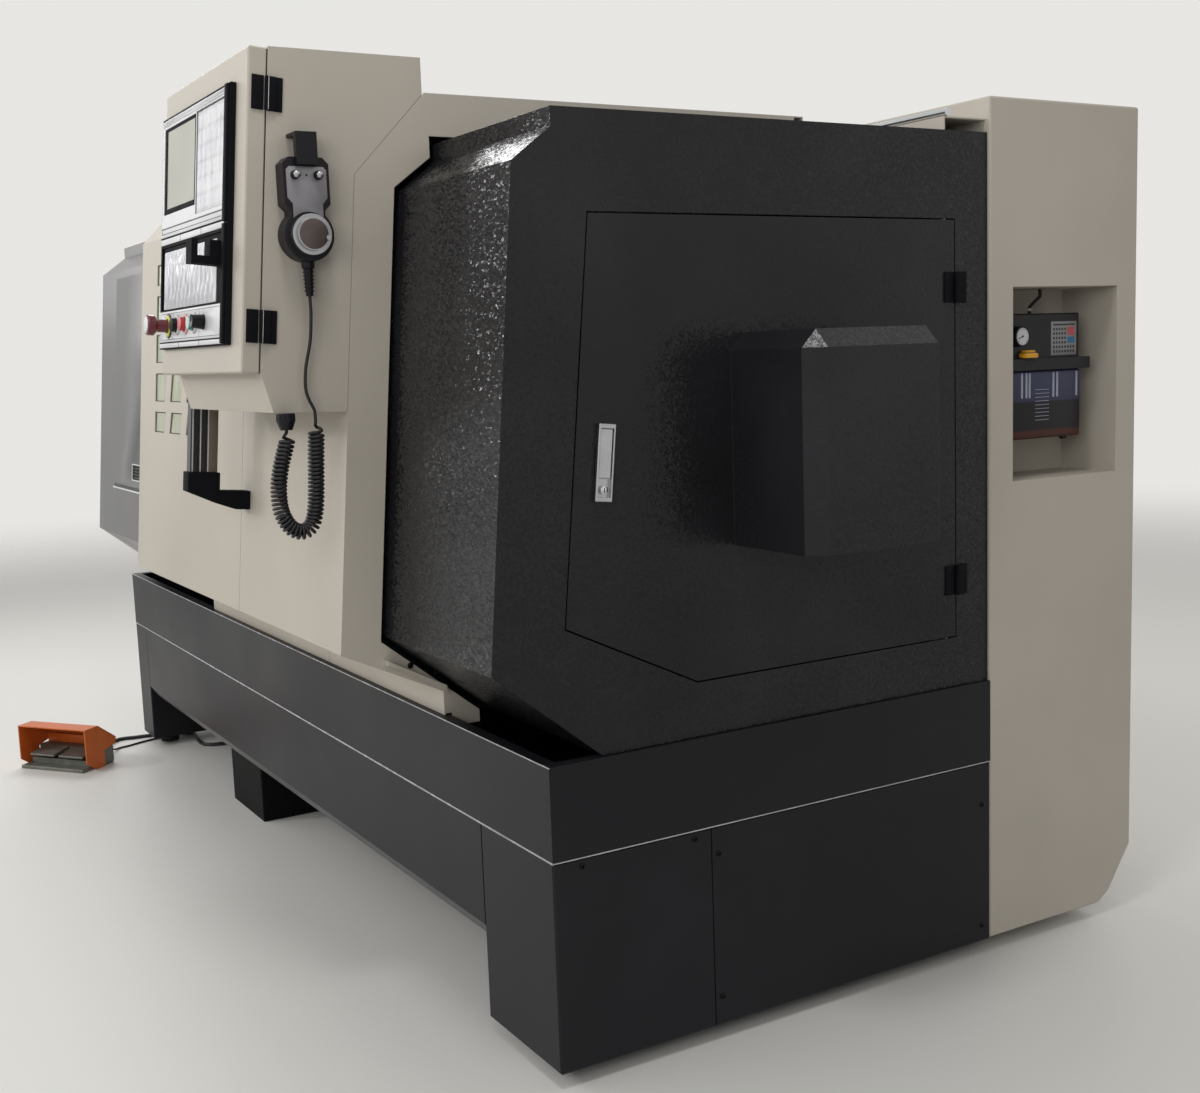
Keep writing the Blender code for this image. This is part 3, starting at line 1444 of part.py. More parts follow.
join(mode_knob, pointer)

# Hand wheel pendant hanging on the side sheet by its hook
pendant_back = -hood_right + seat_gap
pendant_front = pendant_back + pendant_thickness
head_half = pendant_head_width / 2
waist_half = pendant_waist_width / 2
head_foot = pendant_top_z - pendant_head_height
corner = head_half - waist_half
lower_angle = math.degrees(math.asin(waist_half / pendant_round_radius))
pendant_outline = [(pendant_y - head_half + corner, pendant_top_z),
                   (pendant_y + head_half - corner, pendant_top_z),
                   (pendant_y + head_half, pendant_top_z - corner),
                   (pendant_y + head_half, head_foot),
                   (pendant_y + waist_half, head_foot - corner)]
pendant_outline += arc((pendant_y, pendant_round_z), pendant_round_radius,
                       90 - lower_angle, -270 + lower_angle, 24)
pendant_outline += [(pendant_y - waist_half, head_foot - corner),
                    (pendant_y - head_half, head_foot),
                    (pendant_y - head_half, pendant_top_z - corner)]
pendant = outline("pendant", [pendant_outline], "YZ", pendant_back, pendant_front, black_plastic)
soften(pendant, sheet)
hook = box("pendant_hook", (pendant_front - sheet, pendant_y - pendant_hook_width / 2,
                            pendant_top_z - pendant_hook_rise / 3),
           (pendant_front + pendant_hook_thickness, pendant_y + pendant_hook_width / 2,
            pendant_top_z + pendant_hook_rise))
join(pendant, hook)
hook_top = box("pendant_hook_top", (pendant_back, pendant_y - pendant_hook_width / 2,
                                    pendant_top_z + pendant_hook_rise - sheet * 2),
               (pendant_front + sheet, pendant_y + pendant_hook_width / 2,
                pendant_top_z + pendant_hook_rise))
join(pendant, hook_top)
relief_x = (pendant_back + pendant_front) / 2
relief_top = pendant_round_z - pendant_round_radius + sheet
relief_low = relief_top - relief_cap - relief_length
relief = turned("strain_relief", [
    (0, relief_top), (relief_radius, relief_top), (relief_radius, relief_top - relief_cap),
    (relief_tip_radius * 1.3, relief_top - relief_cap - sheet), (relief_tip_radius, relief_low),
    (0, relief_low)], "Z", (relief_x, pendant_y, 0), steps=16)
join(pendant, relief)

# Dial with its crank peg, and the two selector knobs above it
dial_foot = pendant_front + seat_gap
dial_well = pendant_thickness / 3
dial = turned("pendant_dial", [
    (0, dial_foot + dial_height + dial_face_height),
    (dial_face_radius, dial_foot + dial_height + dial_face_height),
    (dial_face_radius, dial_foot + dial_height), (dial_radius, dial_foot + dial_height),
    (dial_radius, dial_foot), (dial_hub_radius, dial_foot),
    (dial_hub_radius, pendant_front - dial_well), (0, pendant_front - dial_well)],
    "X", (0, pendant_y, pendant_round_z), aluminium)
cut(pendant, cylinder("dial_well", "X", (pendant_y, pendant_round_z),
                      dial_hub_radius + running_gap, pendant_front - dial_well - seat_gap,
                      pendant_front + overrun))
peg = cylinder("dial_peg", "X", (pendant_y + peg_offset, pendant_round_z - peg_offset / 3),
               peg_radius, dial_foot + dial_height, dial_foot + dial_height + dial_face_height
               + peg_height, steps=12)
join(dial, peg)
for label, side in (("left", -1), ("right", 1)):
    place = (pendant_y + side * knob_spacing / 2, pendant_top_z - knob_drop)
    stem = small_knob_radius / 2
    turned("pendant_knob_" + label, [
        (0, dial_foot + small_knob_height), (small_knob_radius * 0.8, dial_foot + small_knob_height),
        (small_knob_radius, dial_foot), (stem, dial_foot), (stem, pendant_front - dial_well),
        (0, pendant_front - dial_well)], "X", (0, *place), black_plastic, steps=20)
    cut(pendant, cylinder("knob_well_" + label, "X", place, stem + running_gap,
                          pendant_front - dial_well - seat_gap, pendant_front + overrun,
                          steps=20))

# Gland under the control box, the curly cord and the straight lead
gland_x = relief_x
gland_top = box_toe_z - seat_gap * 4
turned("cord_gland", [
    (0, gland_top), (gland_radius, gland_top), (gland_radius, gland_top - gland_height / 2),
    (gland_tip_radius, gland_top - gland_height), (0, gland_top - gland_height)],
    "Z", (gland_x, gland_y, 0), black_plastic, steps=20)
curl_start = gland_top - gland_height - seat_gap
curl_knots = [(gland_x, gland_y, curl_start), (gland_x, gland_y, curl_start - curl_drop),
              (gland_x, gland_y, curl_start - 2 * curl_drop),
              (gland_x, -0.304, 1.178), (gland_x, -0.314, 1.145), (gland_x, -0.320, 1.105),
              (gland_x, -0.317, 1.062), (gland_x, -0.300, 1.030), (gland_x, -0.276, 1.020),
              (gland_x, -0.256, 1.034), (gland_x, -0.247, 1.070), (gland_x, -0.243, 1.120),
              (gland_x, -0.240, 1.170), (gland_x, -0.237, 1.212), (gland_x, -0.237, 1.223),
              (gland_x, -0.237, curl_end_z)]
tube("curly_cord", smooth_route([Vector(p) for p in curl_knots], cord_spacing),
     curl_radius, black_rubber)
lead_knots = [(relief_x, pendant_y, relief_low - seat_gap), (relief_x, pendant_y, 1.440),
              (relief_x, -0.238, 1.390), (relief_x, -0.250, 1.340), (relief_x, -0.253, 1.300),
              (relief_x, -0.247, 1.276), (relief_x, -0.239, 1.260), (relief_x, -0.237, 1.251),
              (relief_x, -0.237, 1.243), (relief_x, -0.237, curl_end_z + seat_gap)]
tube("pendant_lead", smooth_route([Vector(p) for p in lead_knots], cord_spacing),
     cord_radius, black_rubber)


# Door handle: a grooved bar between two angled brackets
def wall_y(z):
    """Depth of the hoods' front wall at a height."""
    return hood_belly_y + (z - hood_belly_z) * wall_slope


handle_axis = leaning_frame("handle_axis", (-handle_x, wall_y(handle_bottom_z) - seat_gap * 2,
                                            handle_bottom_z))
half_width = handle_width / 2
bar_front = -handle_front + bracket_margin
groove_depth = handle_width / 10
bar_loop = [(-half_width, bar_front), (half_width, bar_front)]
grooves = 3
groove_pitch = handle_depth / (2 * grooves + 1)
for number in range(grooves):
    near = bar_front + groove_pitch * (2 * number + 1)
    bar_loop += [(half_width, near), (half_width - groove_depth, near),
                 (half_width - groove_depth, near + groove_pitch),
                 (half_width, near + groove_pitch)]
bar_loop += [(half_width, bar_front + handle_depth), (-half_width, bar_front + handle_depth)]
handle_bar = outline("handle_bar", [bar_loop], "XY", -sheet, handle_length + sheet, aluminium,
                     parent=handle_axis)


def bracket(foot, rise):
    """Angled bracket: a block that holds the bar and an arm to the wall."""
    block_back = -handle_front + handle_depth + 2 * bracket_margin
    arm_top = bracket_height - bracket_margin / 2
    loop = [(-handle_front, foot), (-handle_front, foot - rise * bracket_height),
            (block_back, foot - rise * (bracket_height + bracket_arm * 0.7)),
            (block_back + bracket_arm, foot - rise * (bracket_height + bracket_arm)),
            (0, foot - rise * (bracket_height + bracket_arm)), (0, foot - rise * arm_top),
            (block_back, foot - rise * arm_top), (block_back, foot)]
    return outline("bracket", [loop], "YZ", -half_width - bracket_margin,
                   half_width + bracket_margin, parent=handle_axis)


join(handle_bar, bracket(0, 1))
join(handle_bar, bracket(handle_length, -1))

# Rear cabinet: tall housing with the lubricator's niche in its end and a door at the back
cabinet_right = 0
cabinet_left = -cabinet_length
cabinet_section = [(cabinet_y, cabinet_bottom), (cabinet_toe_y, cabinet_bottom),
                   (cabinet_toe_y + (cabinet_back_y - cabinet_toe_y) * 0.35,
                    cabinet_bottom + (cabinet_toe_z - cabinet_bottom) * 0.2),
                   (cabinet_back_y, cabinet_toe_z), (cabinet_back_y, cabinet_top),
                   (cabinet_y, cabinet_top)]
rear_cabinet = outline("rear_cabinet", [cabinet_section], "YZ", cabinet_left, cabinet_right,
                       beige)
soften(rear_cabinet, sheet)
cut(rear_cabinet, box("cabinet_room",
                      (cabinet_left + cabinet_wall, cabinet_y + cabinet_wall, cabinet_toe_z),
                      (-cabinet_wall, cabinet_back_y - cabinet_wall,
                       cabinet_top - cabinet_wall)))
cut(rear_cabinet, box("cabinet_doorway",
                      (cabinet_left + cabinet_door_margin, cabinet_back_y - overrun,
                       cabinet_door_bottom),
                      (-cabinet_service, cabinet_back_y + overrun,
                       cabinet_top - cabinet_door_margin)))
join(rear_cabinet, box("niche_shell",
                       (-niche_depth - cabinet_wall, niche_y - cabinet_wall,
                        niche_bottom_z - cabinet_wall),
                       (-cabinet_wall / 2, niche_right_y + cabinet_wall,
                        niche_top_z + cabinet_wall)))
cut(rear_cabinet, box("niche", (-niche_depth, niche_y, niche_bottom_z),
                      (overrun, niche_right_y, niche_top_z)))
cabinet_door_hinge = (cabinet_left + cabinet_door_margin / 2,
                      cabinet_back_y + seat_gap + cabinet_door_thickness)
box("cabinet_door", (cabinet_left + cabinet_door_margin / 2,
                     cabinet_back_y + seat_gap, cabinet_door_bottom - sheet * 5),
    (-cabinet_service + cabinet_door_margin / 2,
     cabinet_back_y + seat_gap + cabinet_door_thickness,
     cabinet_top - cabinet_door_margin + sheet * 5), beige, bevel=sheet,
    origin=(*cabinet_door_hinge, cabinet_door_bottom))

# Central lubricator: clear tank under a black pump head, hung on the niche's back
oiler_back = -niche_depth + oiler_bracket
oiler_front = oiler_back + oiler_depth
oiler_right = oiler_y + oiler_width
flange_z = oiler_bottom_z + oiler_tank_height
head_z = flange_z + oiler_flange_height
box("lubricator_tank", (oiler_back, oiler_y, oiler_bottom_z),
    (oiler_front, oiler_right, flange_z - seat_gap), amber_oil, bevel=sheet)
lubricator_head = box("lubricator_head", (oiler_back, oiler_y, flange_z + sheet),
                      (oiler_front - sheet * 2, oiler_right, head_z + oiler_head_height),
                      black_plastic, bevel=sheet)
oiler_flange = box("oiler_flange", (oiler_back, oiler_y - oiler_flange_overhang / 3, flange_z),
                   (oiler_front + oiler_flange_overhang / 2, oiler_right + oiler_flange_overhang,
                    head_z))
join(lubricator_head, oiler_flange)
oiler_plate = box("oiler_plate", (-niche_depth + seat_gap, oiler_y + oiler_flange_overhang,
                                  flange_z + sheet),
                  (oiler_back + sheet, oiler_right - oiler_flange_overhang,
                   head_z + oiler_head_height - sheet * 3))
join(lubricator_head, oiler_plate)
gauge = cylinder("oiler_gauge", "X", (oiler_y + gauge_radius * 1.6,
                                      head_z + oiler_head_height / 2), gauge_radius,
                 oiler_front - sheet * 3, oiler_front + gauge_depth, steps=24)
join(lubricator_head, gauge)
oil_cap = cylinder("oiler_cap", "Z", (oiler_front - sheet, oiler_y + oil_cap_radius * 3.2),
                   oil_cap_radius, head_z - sheet, head_z + oil_cap_height, steps=24)
join(lubricator_head, oil_cap)
tube_x = oiler_back + oiler_depth / 3
tube_z = head_z + oiler_head_height + seat_gap
oil_tube_knots = [(tube_x, oiler_y + oiler_width * 0.6, tube_z),
                  (tube_x, oiler_y + oiler_width * 0.6, tube_z + 0.008),
                  (tube_x, oiler_y + oiler_width * 0.6, tube_z + 0.015),
                  (tube_x, oiler_y + oiler_width * 0.67, tube_z + 0.028),
                  (tube_x, oiler_y + oiler_width * 0.74, niche_top_z - 0.017),
                  (tube_x, oiler_y + oiler_width * 0.74, niche_top_z - 0.010),
                  (tube_x, oiler_y + oiler_width * 0.74, niche_top_z - seat_gap)]
tube("oil_tube", smooth_route([Vector(p) for p in oil_tube_knots], oil_tube_spacing),
     oil_tube_radius, black_rubber)

# Coolant tank on the floor with its pump
coolant_tank = box("coolant_tank", (-tank_left, tank_y, -foot_height),
                   (-tank_left + tank_length, tank_y + tank_width, tank_height - foot_height),
                   graphite, bevel=sheet)
tank_pump = cylinder("tank_pump", "Z", (-tank_left + tank_pump_radius * 2,
                                        tank_y + tank_width / 2), tank_pump_radius,
                     tank_height - foot_height - sheet,
                     tank_height - foot_height + tank_pump_height)
join(coolant_tank, tank_pump)
tank_pipe = cylinder("tank_pipe", "Z", (-tank_left + tank_pump_radius * 2,
                                        tank_y + tank_width / 2), tank_pipe_radius,
                     tank_height - foot_height + tank_pump_height - sheet,
                     tray_bottom - seat_gap, steps=16)
join(coolant_tank, tank_pipe)

# Foot switch: base plate, switch block, two sprung pedals and the orange guard
foot_axis = bpy.data.objects.new("foot_switch_frame", None)
parts.objects.link(foot_axis)
foot_axis.parent = machine
foot_axis.location = (pedal_x, pedal_y, -foot_height)
foot_axis.rotation_euler = (0, 0, pedal_turn)
plate_left = guard_wall + foot_plate_margin
plate_right = guard_width - guard_wall - foot_plate_margin
foot_base = box("foot_switch_base", (plate_left, -foot_plate_front, 0),
                (plate_right, foot_block_back, foot_plate_height), pedal_grey,
                bevel=sheet / 2, parent=foot_axis)
foot_hump = box("foot_hump", (plate_left + foot_plate_margin, foot_hump_depth,
                              foot_plate_height / 2),
                (plate_right - foot_plate_margin, foot_block_back - sheet, foot_hump_height),
                parent=foot_axis)
foot_block = box("foot_block", (guard_wall + seat_gap, foot_block_depth,
                                foot_plate_height / 2),
                 (guard_width - guard_wall - seat_gap, foot_block_back - sheet * 2,
                  foot_block_height), parent=foot_axis)
join(foot_base, foot_hump)
join(foot_base, foot_block)
guard_side = [(0, guard_toe_z), (0, guard_height), (guard_roof_depth, guard_height),
              (guard_nose_depth, guard_nose_z), (guard_nose_back_depth, guard_nose_low_z),
              (guard_heel_depth, guard_heel_z), (guard_heel_depth, seat_gap),
              (guard_toe_depth, seat_gap)]
guard_faces = [[(x, *point) for point in guard_side] for x in (0, guard_width)]
guard_faces += [[(0, *a), (guard_width, *a), (guard_width, *b), (0, *b)]
                for a, b in zip(guard_side[1:5], guard_side[2:5])]
sheet_metal("foot_switch_guard", guard_faces, guard_wall, guard_orange,
            parent=foot_axis)
pedal_back = foot_block_depth - pedal_pin_radius - seat_gap
for label, side in (("left", -1), ("right", 1)):
    middle = guard_width / 2 + side * (pedal_width + pedal_gap) / 2
    pivot = bpy.data.objects.new("pedal_frame_" + label, None)
    parts.objects.link(pivot)
    pivot.parent = foot_axis
    pivot.location = (middle, pedal_back, pedal_z)
    pivot.rotation_euler = (pedal_tilt, 0, 0)
    pedal = box("pedal_" + label, (-pedal_width / 2, -pedal_length, -pedal_thickness / 2),
                (pedal_width / 2, 0, pedal_thickness / 2), pedal_grey, bevel=sheet / 3,
                parent=pivot)
    barrel = cylinder("pedal_barrel_" + label, "X", (0, 0), pedal_pin_radius,
                      -pedal_width / 2, pedal_width / 2, steps=16, parent=pivot)
    join(pedal, barrel)

# Foot switch cords: from glands on the switch block along the floor to the main motor
turn_matrix = Matrix.Rotation(pedal_turn, 3, "Z")


def foot_place(x, y, z):
    """Machine coordinates of a point given in the foot switch's own turned frame."""
    return Vector((pedal_x, pedal_y, -foot_height)) + turn_matrix @ Vector((x, y, z))


def floor_cord(label, radius, start_x, floor_points, rise_x, rise_y, top_z):
    """Cord from a gland on the switch block, along the floor and straight up to its end."""
    start_z = foot_block_height / 2
    gland_back = foot_block_back + cord_gland_length
    gland = cylinder("foot_gland_" + label, "Y", (start_x, start_z), cord_gland_radius,
                     foot_block_back - sheet * 3, gland_back, steps=16, parent=foot_axis)
    join(foot_base, gland)
    floor_z = radius - foot_height + seat_gap
    knots = [foot_place(start_x, gland_back + seat_gap, start_z),
             foot_place(start_x, gland_back + 4 * radius, start_z)]
    knots += [Vector((x, y, floor_z)) for x, y in floor_points]
    knots += [Vector((rise_x, rise_y, top_z - 3 * radius)),
              Vector((rise_x, rise_y, top_z - radius)), Vector((rise_x, rise_y, top_z))]
    tube("foot_cord_" + label, smooth_route(knots, 4 * radius), radius, black_rubber)


motor_gland_z = motor_z - motor_radius - cord_gland_length
motor_gland = cylinder("motor_gland", "Z", (motor_gland_x, spindle_y), motor_gland_radius,
                       motor_gland_z, motor_gland_z + 2 * cord_gland_length, steps=16)
join(main_motor, motor_gland)
floor_cord("a", foot_cord_radius, 0.150, (
    (-3.222, -0.103), (-3.222, -0.034), (-3.212, 0.031), (-3.197, 0.110), (-3.140, 0.163),
    (-3.070, 0.158), (-3.000, 0.150), (-2.945, 0.158), (-2.916, 0.218), (-2.890, 0.400),
    (-2.865, 0.540)), motor_gland_x, spindle_y, motor_gland_z - seat_gap)
floor_cord("b", thin_cord_radius, 0.230, (
    (-3.104, -0.124), (-3.122, -0.080), (-3.145, -0.030), (-3.168, 0.040), (-3.172, 0.085)),
           thin_cord_end_x, thin_cord_end_y, -seat_gap)

# Move the machine so that its origin is the middle of its footprint, on the floor
bpy.context.view_layer.update()
graph = bpy.context.evaluated_depsgraph_get()
cord_pieces = ("foot_cord_a", "foot_cord_b", "foot_switch_base", "foot_switch_guard",
               "pedal_left", "pedal_right", "curly_cord", "pendant_lead")
lows = []
highs = []
for obj in parts.objects:
    if obj.type in {"MESH", "CURVE"} and obj.name not in cord_pieces:
        mesh = bpy.data.meshes.new_from_object(obj.evaluated_get(graph))
        corners = [obj.matrix_world @ vertex.co for vertex in mesh.vertices]
        bpy.data.meshes.remove(mesh)
        lows.append([min(corner[i] for corner in corners) for i in range(3)])
        highs.append([max(corner[i] for corner in corners) for i in range(3)])
low = [min(values) for values in zip(*lows)]
high = [max(values) for values in zip(*highs)]
machine.location = (-(low[0] + high[0]) / 2, -(low[1] + high[1]) / 2, -low[2])
bpy.context.view_layer.update()
print("machine moved by", [round(value, 5) for value in machine.location])
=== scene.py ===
import math
import bmesh
import bpy
from mathutils import Matrix, Vector


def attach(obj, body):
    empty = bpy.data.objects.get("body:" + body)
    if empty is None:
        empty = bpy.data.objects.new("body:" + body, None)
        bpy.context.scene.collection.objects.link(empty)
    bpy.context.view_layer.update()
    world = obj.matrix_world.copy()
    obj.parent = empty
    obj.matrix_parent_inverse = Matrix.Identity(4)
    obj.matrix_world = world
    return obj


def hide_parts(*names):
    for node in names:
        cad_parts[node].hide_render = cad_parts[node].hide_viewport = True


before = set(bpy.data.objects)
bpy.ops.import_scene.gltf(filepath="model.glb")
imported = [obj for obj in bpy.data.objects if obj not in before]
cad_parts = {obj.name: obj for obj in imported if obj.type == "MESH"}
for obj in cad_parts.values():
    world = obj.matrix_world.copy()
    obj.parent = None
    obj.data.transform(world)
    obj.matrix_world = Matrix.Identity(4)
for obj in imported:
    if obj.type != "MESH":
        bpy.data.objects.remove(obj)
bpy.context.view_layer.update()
scene = bpy.context.scene
scene.view_settings.view_transform = "Standard"


# Measuring corner: every size below is taken from the chip tray's right front corner, 30 mm
# over the floor, with X to the operator's right, Y away from the operator and Z up. Only the
# shift to the middle of the machine's footprint is added.
tray_corner = Vector((1.4815, -0.58432, 0.03))
ground = -0.030


def place(x, y, z):
    """A measured point in the model's frame."""
    return Vector((x, y, z)) + tray_corner


def at(x, y, z):
    """An upright frame whose origin is a measured point."""
    return Matrix.Translation(place(x, y, z))


# Camera: stands at the tailstock end on the operator's side, a little above the spindle line,
# and looks along the machine slightly downwards.
camera_data = bpy.data.cameras.new("camera")
camera_data.sensor_width = 36.0
camera_data.lens = 43.8
camera = bpy.data.objects.new("camera", camera_data)
camera_right = Vector((0.51147, 0.85855, -0.03570))
camera_up = Vector((-0.09551, 0.09809, 0.99058))
camera_back = Vector((0.85397, -0.50325, 0.13217))
camera_turn = Matrix((camera_right, camera_up, camera_back)).transposed()
camera.matrix_world = at(2.290, -1.224, 1.350) @ camera_turn.to_4x4()
scene.collection.objects.link(camera)
scene.camera = camera


# Cords: the foot switch has a thick mains lead that runs under the machine to the motor and a
# thin control lead. The pendant has a straight lead that hangs from its strain relief into a
# curly cord, which rises to the gland under the control box. All are soft black PVC.
def linear(hex_colour, alpha=1.0):
    """Linear colour of six sRGB hex digits."""
    channels = [int(hex_colour[i:i + 2], 16) / 255 for i in (0, 2, 4)]
    return (*[c / 12.92 if c <= 0.04045 else ((c + 0.055) / 1.055) ** 2.4 for c in channels], alpha)


def add(tree, kind, inputs=None, **settings):
    """One node with its settings; each input gets a value or is linked to a socket."""
    node = tree.nodes.new(kind)
    for name, value in settings.items():
        setattr(node, name, value)
    for name, value in (inputs or {}).items():
        if isinstance(value, bpy.types.NodeSocket):
            tree.links.new(value, node.inputs[name])
        else:
            node.inputs[name].default_value = value
    return node


def blank(name):
    """An empty material with an output, and its tree."""
    finish = bpy.data.materials.new(name)
    finish.use_nodes = True
    finish.node_tree.nodes.clear()
    return finish, finish.node_tree


noise_lump_mm = 500.0


def noise(tree, millimetres, detail=2.0, seed=0.0, squeeze=(1.0, 1.0, 1.0)):
    """Noise whose lumps are about so many millimetres across, in object coordinates."""
    where = add(tree, "ShaderNodeTexCoord").outputs["Object"]
    moved = add(tree, "ShaderNodeMapping", {"Vector": where, "Location": (seed, seed, seed),
                                            "Scale": squeeze})
    return add(tree, "ShaderNodeTexNoise", {
        "Vector": moved.outputs["Vector"], "Scale": noise_lump_mm / millimetres, "Detail": detail,
        "Roughness": 0.55}).outputs["Fac"]


def ramp(tree, value, stops):
    """Colour ramp through (place, hex colour) stops."""
    node = add(tree, "ShaderNodeValToRGB", {"Fac": value})
    elements = node.color_ramp.elements
    elements[0].position, elements[0].color = stops[0][0], linear(stops[0][1])
    elements[1].position, elements[1].color = stops[-1][0], linear(stops[-1][1])
    for where, colour in stops[1:-1]:
        middle = elements.new(where)
        middle.color = linear(colour)
    return node.outputs["Color"]


def spread(tree, value, low, high):
    """A value from 0 to 1 spread over a range."""
    return add(tree, "ShaderNodeMapRange", {"Value": value, "To Min": low, "To Max": high,
                                           "From Min": 0.3, "From Max": 0.7}).outputs["Result"]


def surfaced(tree, inputs):
    """The surface of a material: one principled shader with its inputs."""
    shader = add(tree, "ShaderNodeBsdfPrincipled", inputs)
    add(tree, "ShaderNodeOutputMaterial", {"Surface": shader.outputs["BSDF"]})


def pair(dark, light):
    """Two colours that blend in the middle of a noise."""
    return [(0.3, dark), (0.7, light)]


def coated(name, stops, patch_mm, grain_mm, grain_depth, rough, metallic=0.0, edge_mm=0.8,
           coat=0.0, ior=1.5, squeeze=(1.0, 1.0, 1.0), glitter=0.0):
    """A solid finish: patches of colour, a fine grain in the surface and softened edges.

    Grains of less than 2 mm are drawn a few times coarser than real, so that they show. Where
    it glitters, each grain is a facet that leans its own way."""
    finish, tree = blank(name)
    patches = noise(tree, patch_mm, 4.0)
    grain = noise(tree, grain_mm, 2.0, 3.7, squeeze)
    soft_edge = add(tree, "ShaderNodeBevel", {"Radius": edge_mm / 1000}, samples=4)
    surface = add(tree, "ShaderNodeBump", {
        "Height": grain, "Strength": 1.0, "Distance": grain_depth / 1000,
        "Normal": soft_edge.outputs["Normal"]})
    facing = surface.outputs["Normal"]
    if glitter:
        where = add(tree, "ShaderNodeTexCoord").outputs["Object"]
        drawn = add(tree, "ShaderNodeMapping", {"Vector": where, "Scale": squeeze})
        facets = add(tree, "ShaderNodeTexVoronoi", {"Vector": drawn.outputs["Vector"],
                                                    "Scale": 1000 / grain_mm})
        tilt = add(tree, "ShaderNodeVectorMath", {0: facets.outputs["Color"],
                                                  1: (0.5, 0.5, 0.5)}, operation="SUBTRACT")
        tilt = add(tree, "ShaderNodeVectorMath", {0: tilt.outputs["Vector"], "Scale": glitter},
                   operation="SCALE")
        tilt = add(tree, "ShaderNodeVectorMath", {0: tilt.outputs["Vector"], 1: facing})
        facing = add(tree, "ShaderNodeVectorMath", {0: tilt.outputs["Vector"]},
                     operation="NORMALIZE").outputs["Vector"]
    surfaced(tree, {"Base Color": ramp(tree, patches, stops), "Metallic": metallic, "IOR": ior,
                    "Roughness": spread(tree, patches, *rough), "Coat Weight": coat,
                    "Coat Roughness": 0.08, "Normal": facing})
    return finish


# Soft PVC jacket: dull black with a faint sheen where it is rubbed.
soft_pvc = coated("soft_black_pvc_jacket", [(0.35, "0E0E10"), (0.65, "1A1A1C")], 30, 0.6, 0.03,
                  (0.42, 0.6), edge_mm=0.2)


def smooth_route(knots, spacing):
    """Evenly spaced points on a smooth curve through the knots, straight at both ends."""
    ends = [2 * knots[0] - knots[1]] + knots + [2 * knots[-1] - knots[-2]]
    fine = []
    for a, b, c, d in zip(ends, ends[1:], ends[2:], ends[3:]):
        stations = 24
        for i in range(stations):
            t = i / stations
            fine.append(((b * 2) + (c - a) * t + (a * 2 - b * 5 + c * 4 - d) * t ** 2
                         + (b * 3 - a - c * 3 + d) * t ** 3) / 2)
    fine.append(knots[-1])
    lengths = [0]
    for first, second in zip(fine, fine[1:]):
        lengths.append(lengths[-1] + (second - first).length)
    count = max(2, round(lengths[-1] / spacing))
    route = []
    index = 0
    lowest = min(knot.z for knot in knots)
    for i in range(count + 1):
        wanted = lengths[-1] * i / count
        while index < len(lengths) - 2 and lengths[index + 1] < wanted:
            index += 1
        share = (wanted - lengths[index]) / (lengths[index + 1] - lengths[index])
        spot = fine[index].lerp(fine[index + 1], share)
        spot.z = max(spot.z, lowest)
        route.append(spot)
    step = lengths[-1] / count
    route[1] = knots[0] + (knots[1] - knots[0]).normalized() * step
    route[-2] = knots[-1] + (knots[-2] - knots[-1]).normalized() * step
    return route


def cord(name, points, radius, body, node, **facts):
    """A round cord along a line of points, in place of its solid."""
    curve = bpy.data.curves.new(name, "CURVE")
    curve.dimensions = "3D"
    curve.bevel_depth = radius
    curve.bevel_resolution = 3
    curve.use_fill_caps = True
    spline = curve.splines.new("POLY")
    spline.points.add(len(points) - 1)
    for point, spot in zip(spline.points, points):
        point.co = (*spot, 1)
    obj = bpy.data.objects.new(name, curve)
    obj.data.materials.append(soft_pvc)
    scene.collection.objects.link(obj)
    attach(obj, body)
    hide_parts(node)
    return obj


foot_turn = Matrix.Rotation(math.radians(38.0), 3, "Z")
foot_corner = place(-3.083, -0.460, ground)
seat_gap = 0.0003
foot_block_back = 0.148
foot_gland_length = 0.012
foot_block_middle = 0.030
motor_gland = (-2.860, 0.585, 0.078)
pedestal_entry = (-3.172, 0.110, 0.0)


def foot_place(x, y, z):
    """A point given in the foot switch's own turned frame."""
    return foot_corner + foot_turn @ Vector((x, y, z))


def floor_route(radius, start_x, floor_points, end):
    """From a gland on the switch block, along the floor and straight up to its end."""
    gland_back = foot_block_back + foot_gland_length
    floor_z = radius + ground + seat_gap
    knots = [foot_place(start_x, gland_back + seat_gap, foot_block_middle),
             foot_place(start_x, gland_back + 4 * radius, foot_block_middle)]
    knots += [place(x, y, floor_z) for x, y in floor_points]
    x, y, top = end
    knots += [place(x, y, top - seat_gap - step * radius) for step in (3, 1, 0)]
    return smooth_route(knots, 4 * radius)


thick_radius = 0.0065
thin_radius = 0.0035
cord("foot_mains_cord", floor_route(thick_radius, 0.150, (
    (-3.222, -0.103), (-3.222, -0.034), (-3.212, 0.031), (-3.197, 0.110), (-3.140, 0.163),
    (-3.070, 0.158), (-3.000, 0.150), (-2.945, 0.158), (-2.916, 0.218), (-2.890, 0.400),
    (-2.865, 0.540)), motor_gland), thick_radius, "machine", "foot_cord_a",
     far_end="object", lay="loose")
cord("foot_control_cord", floor_route(thin_radius, 0.230, (
    (-3.104, -0.124), (-3.122, -0.080), (-3.145, -0.030), (-3.168, 0.040), (-3.172, 0.085)),
    pedestal_entry), thin_radius, "machine", "foot_cord_b", far_end="object", lay="loose")

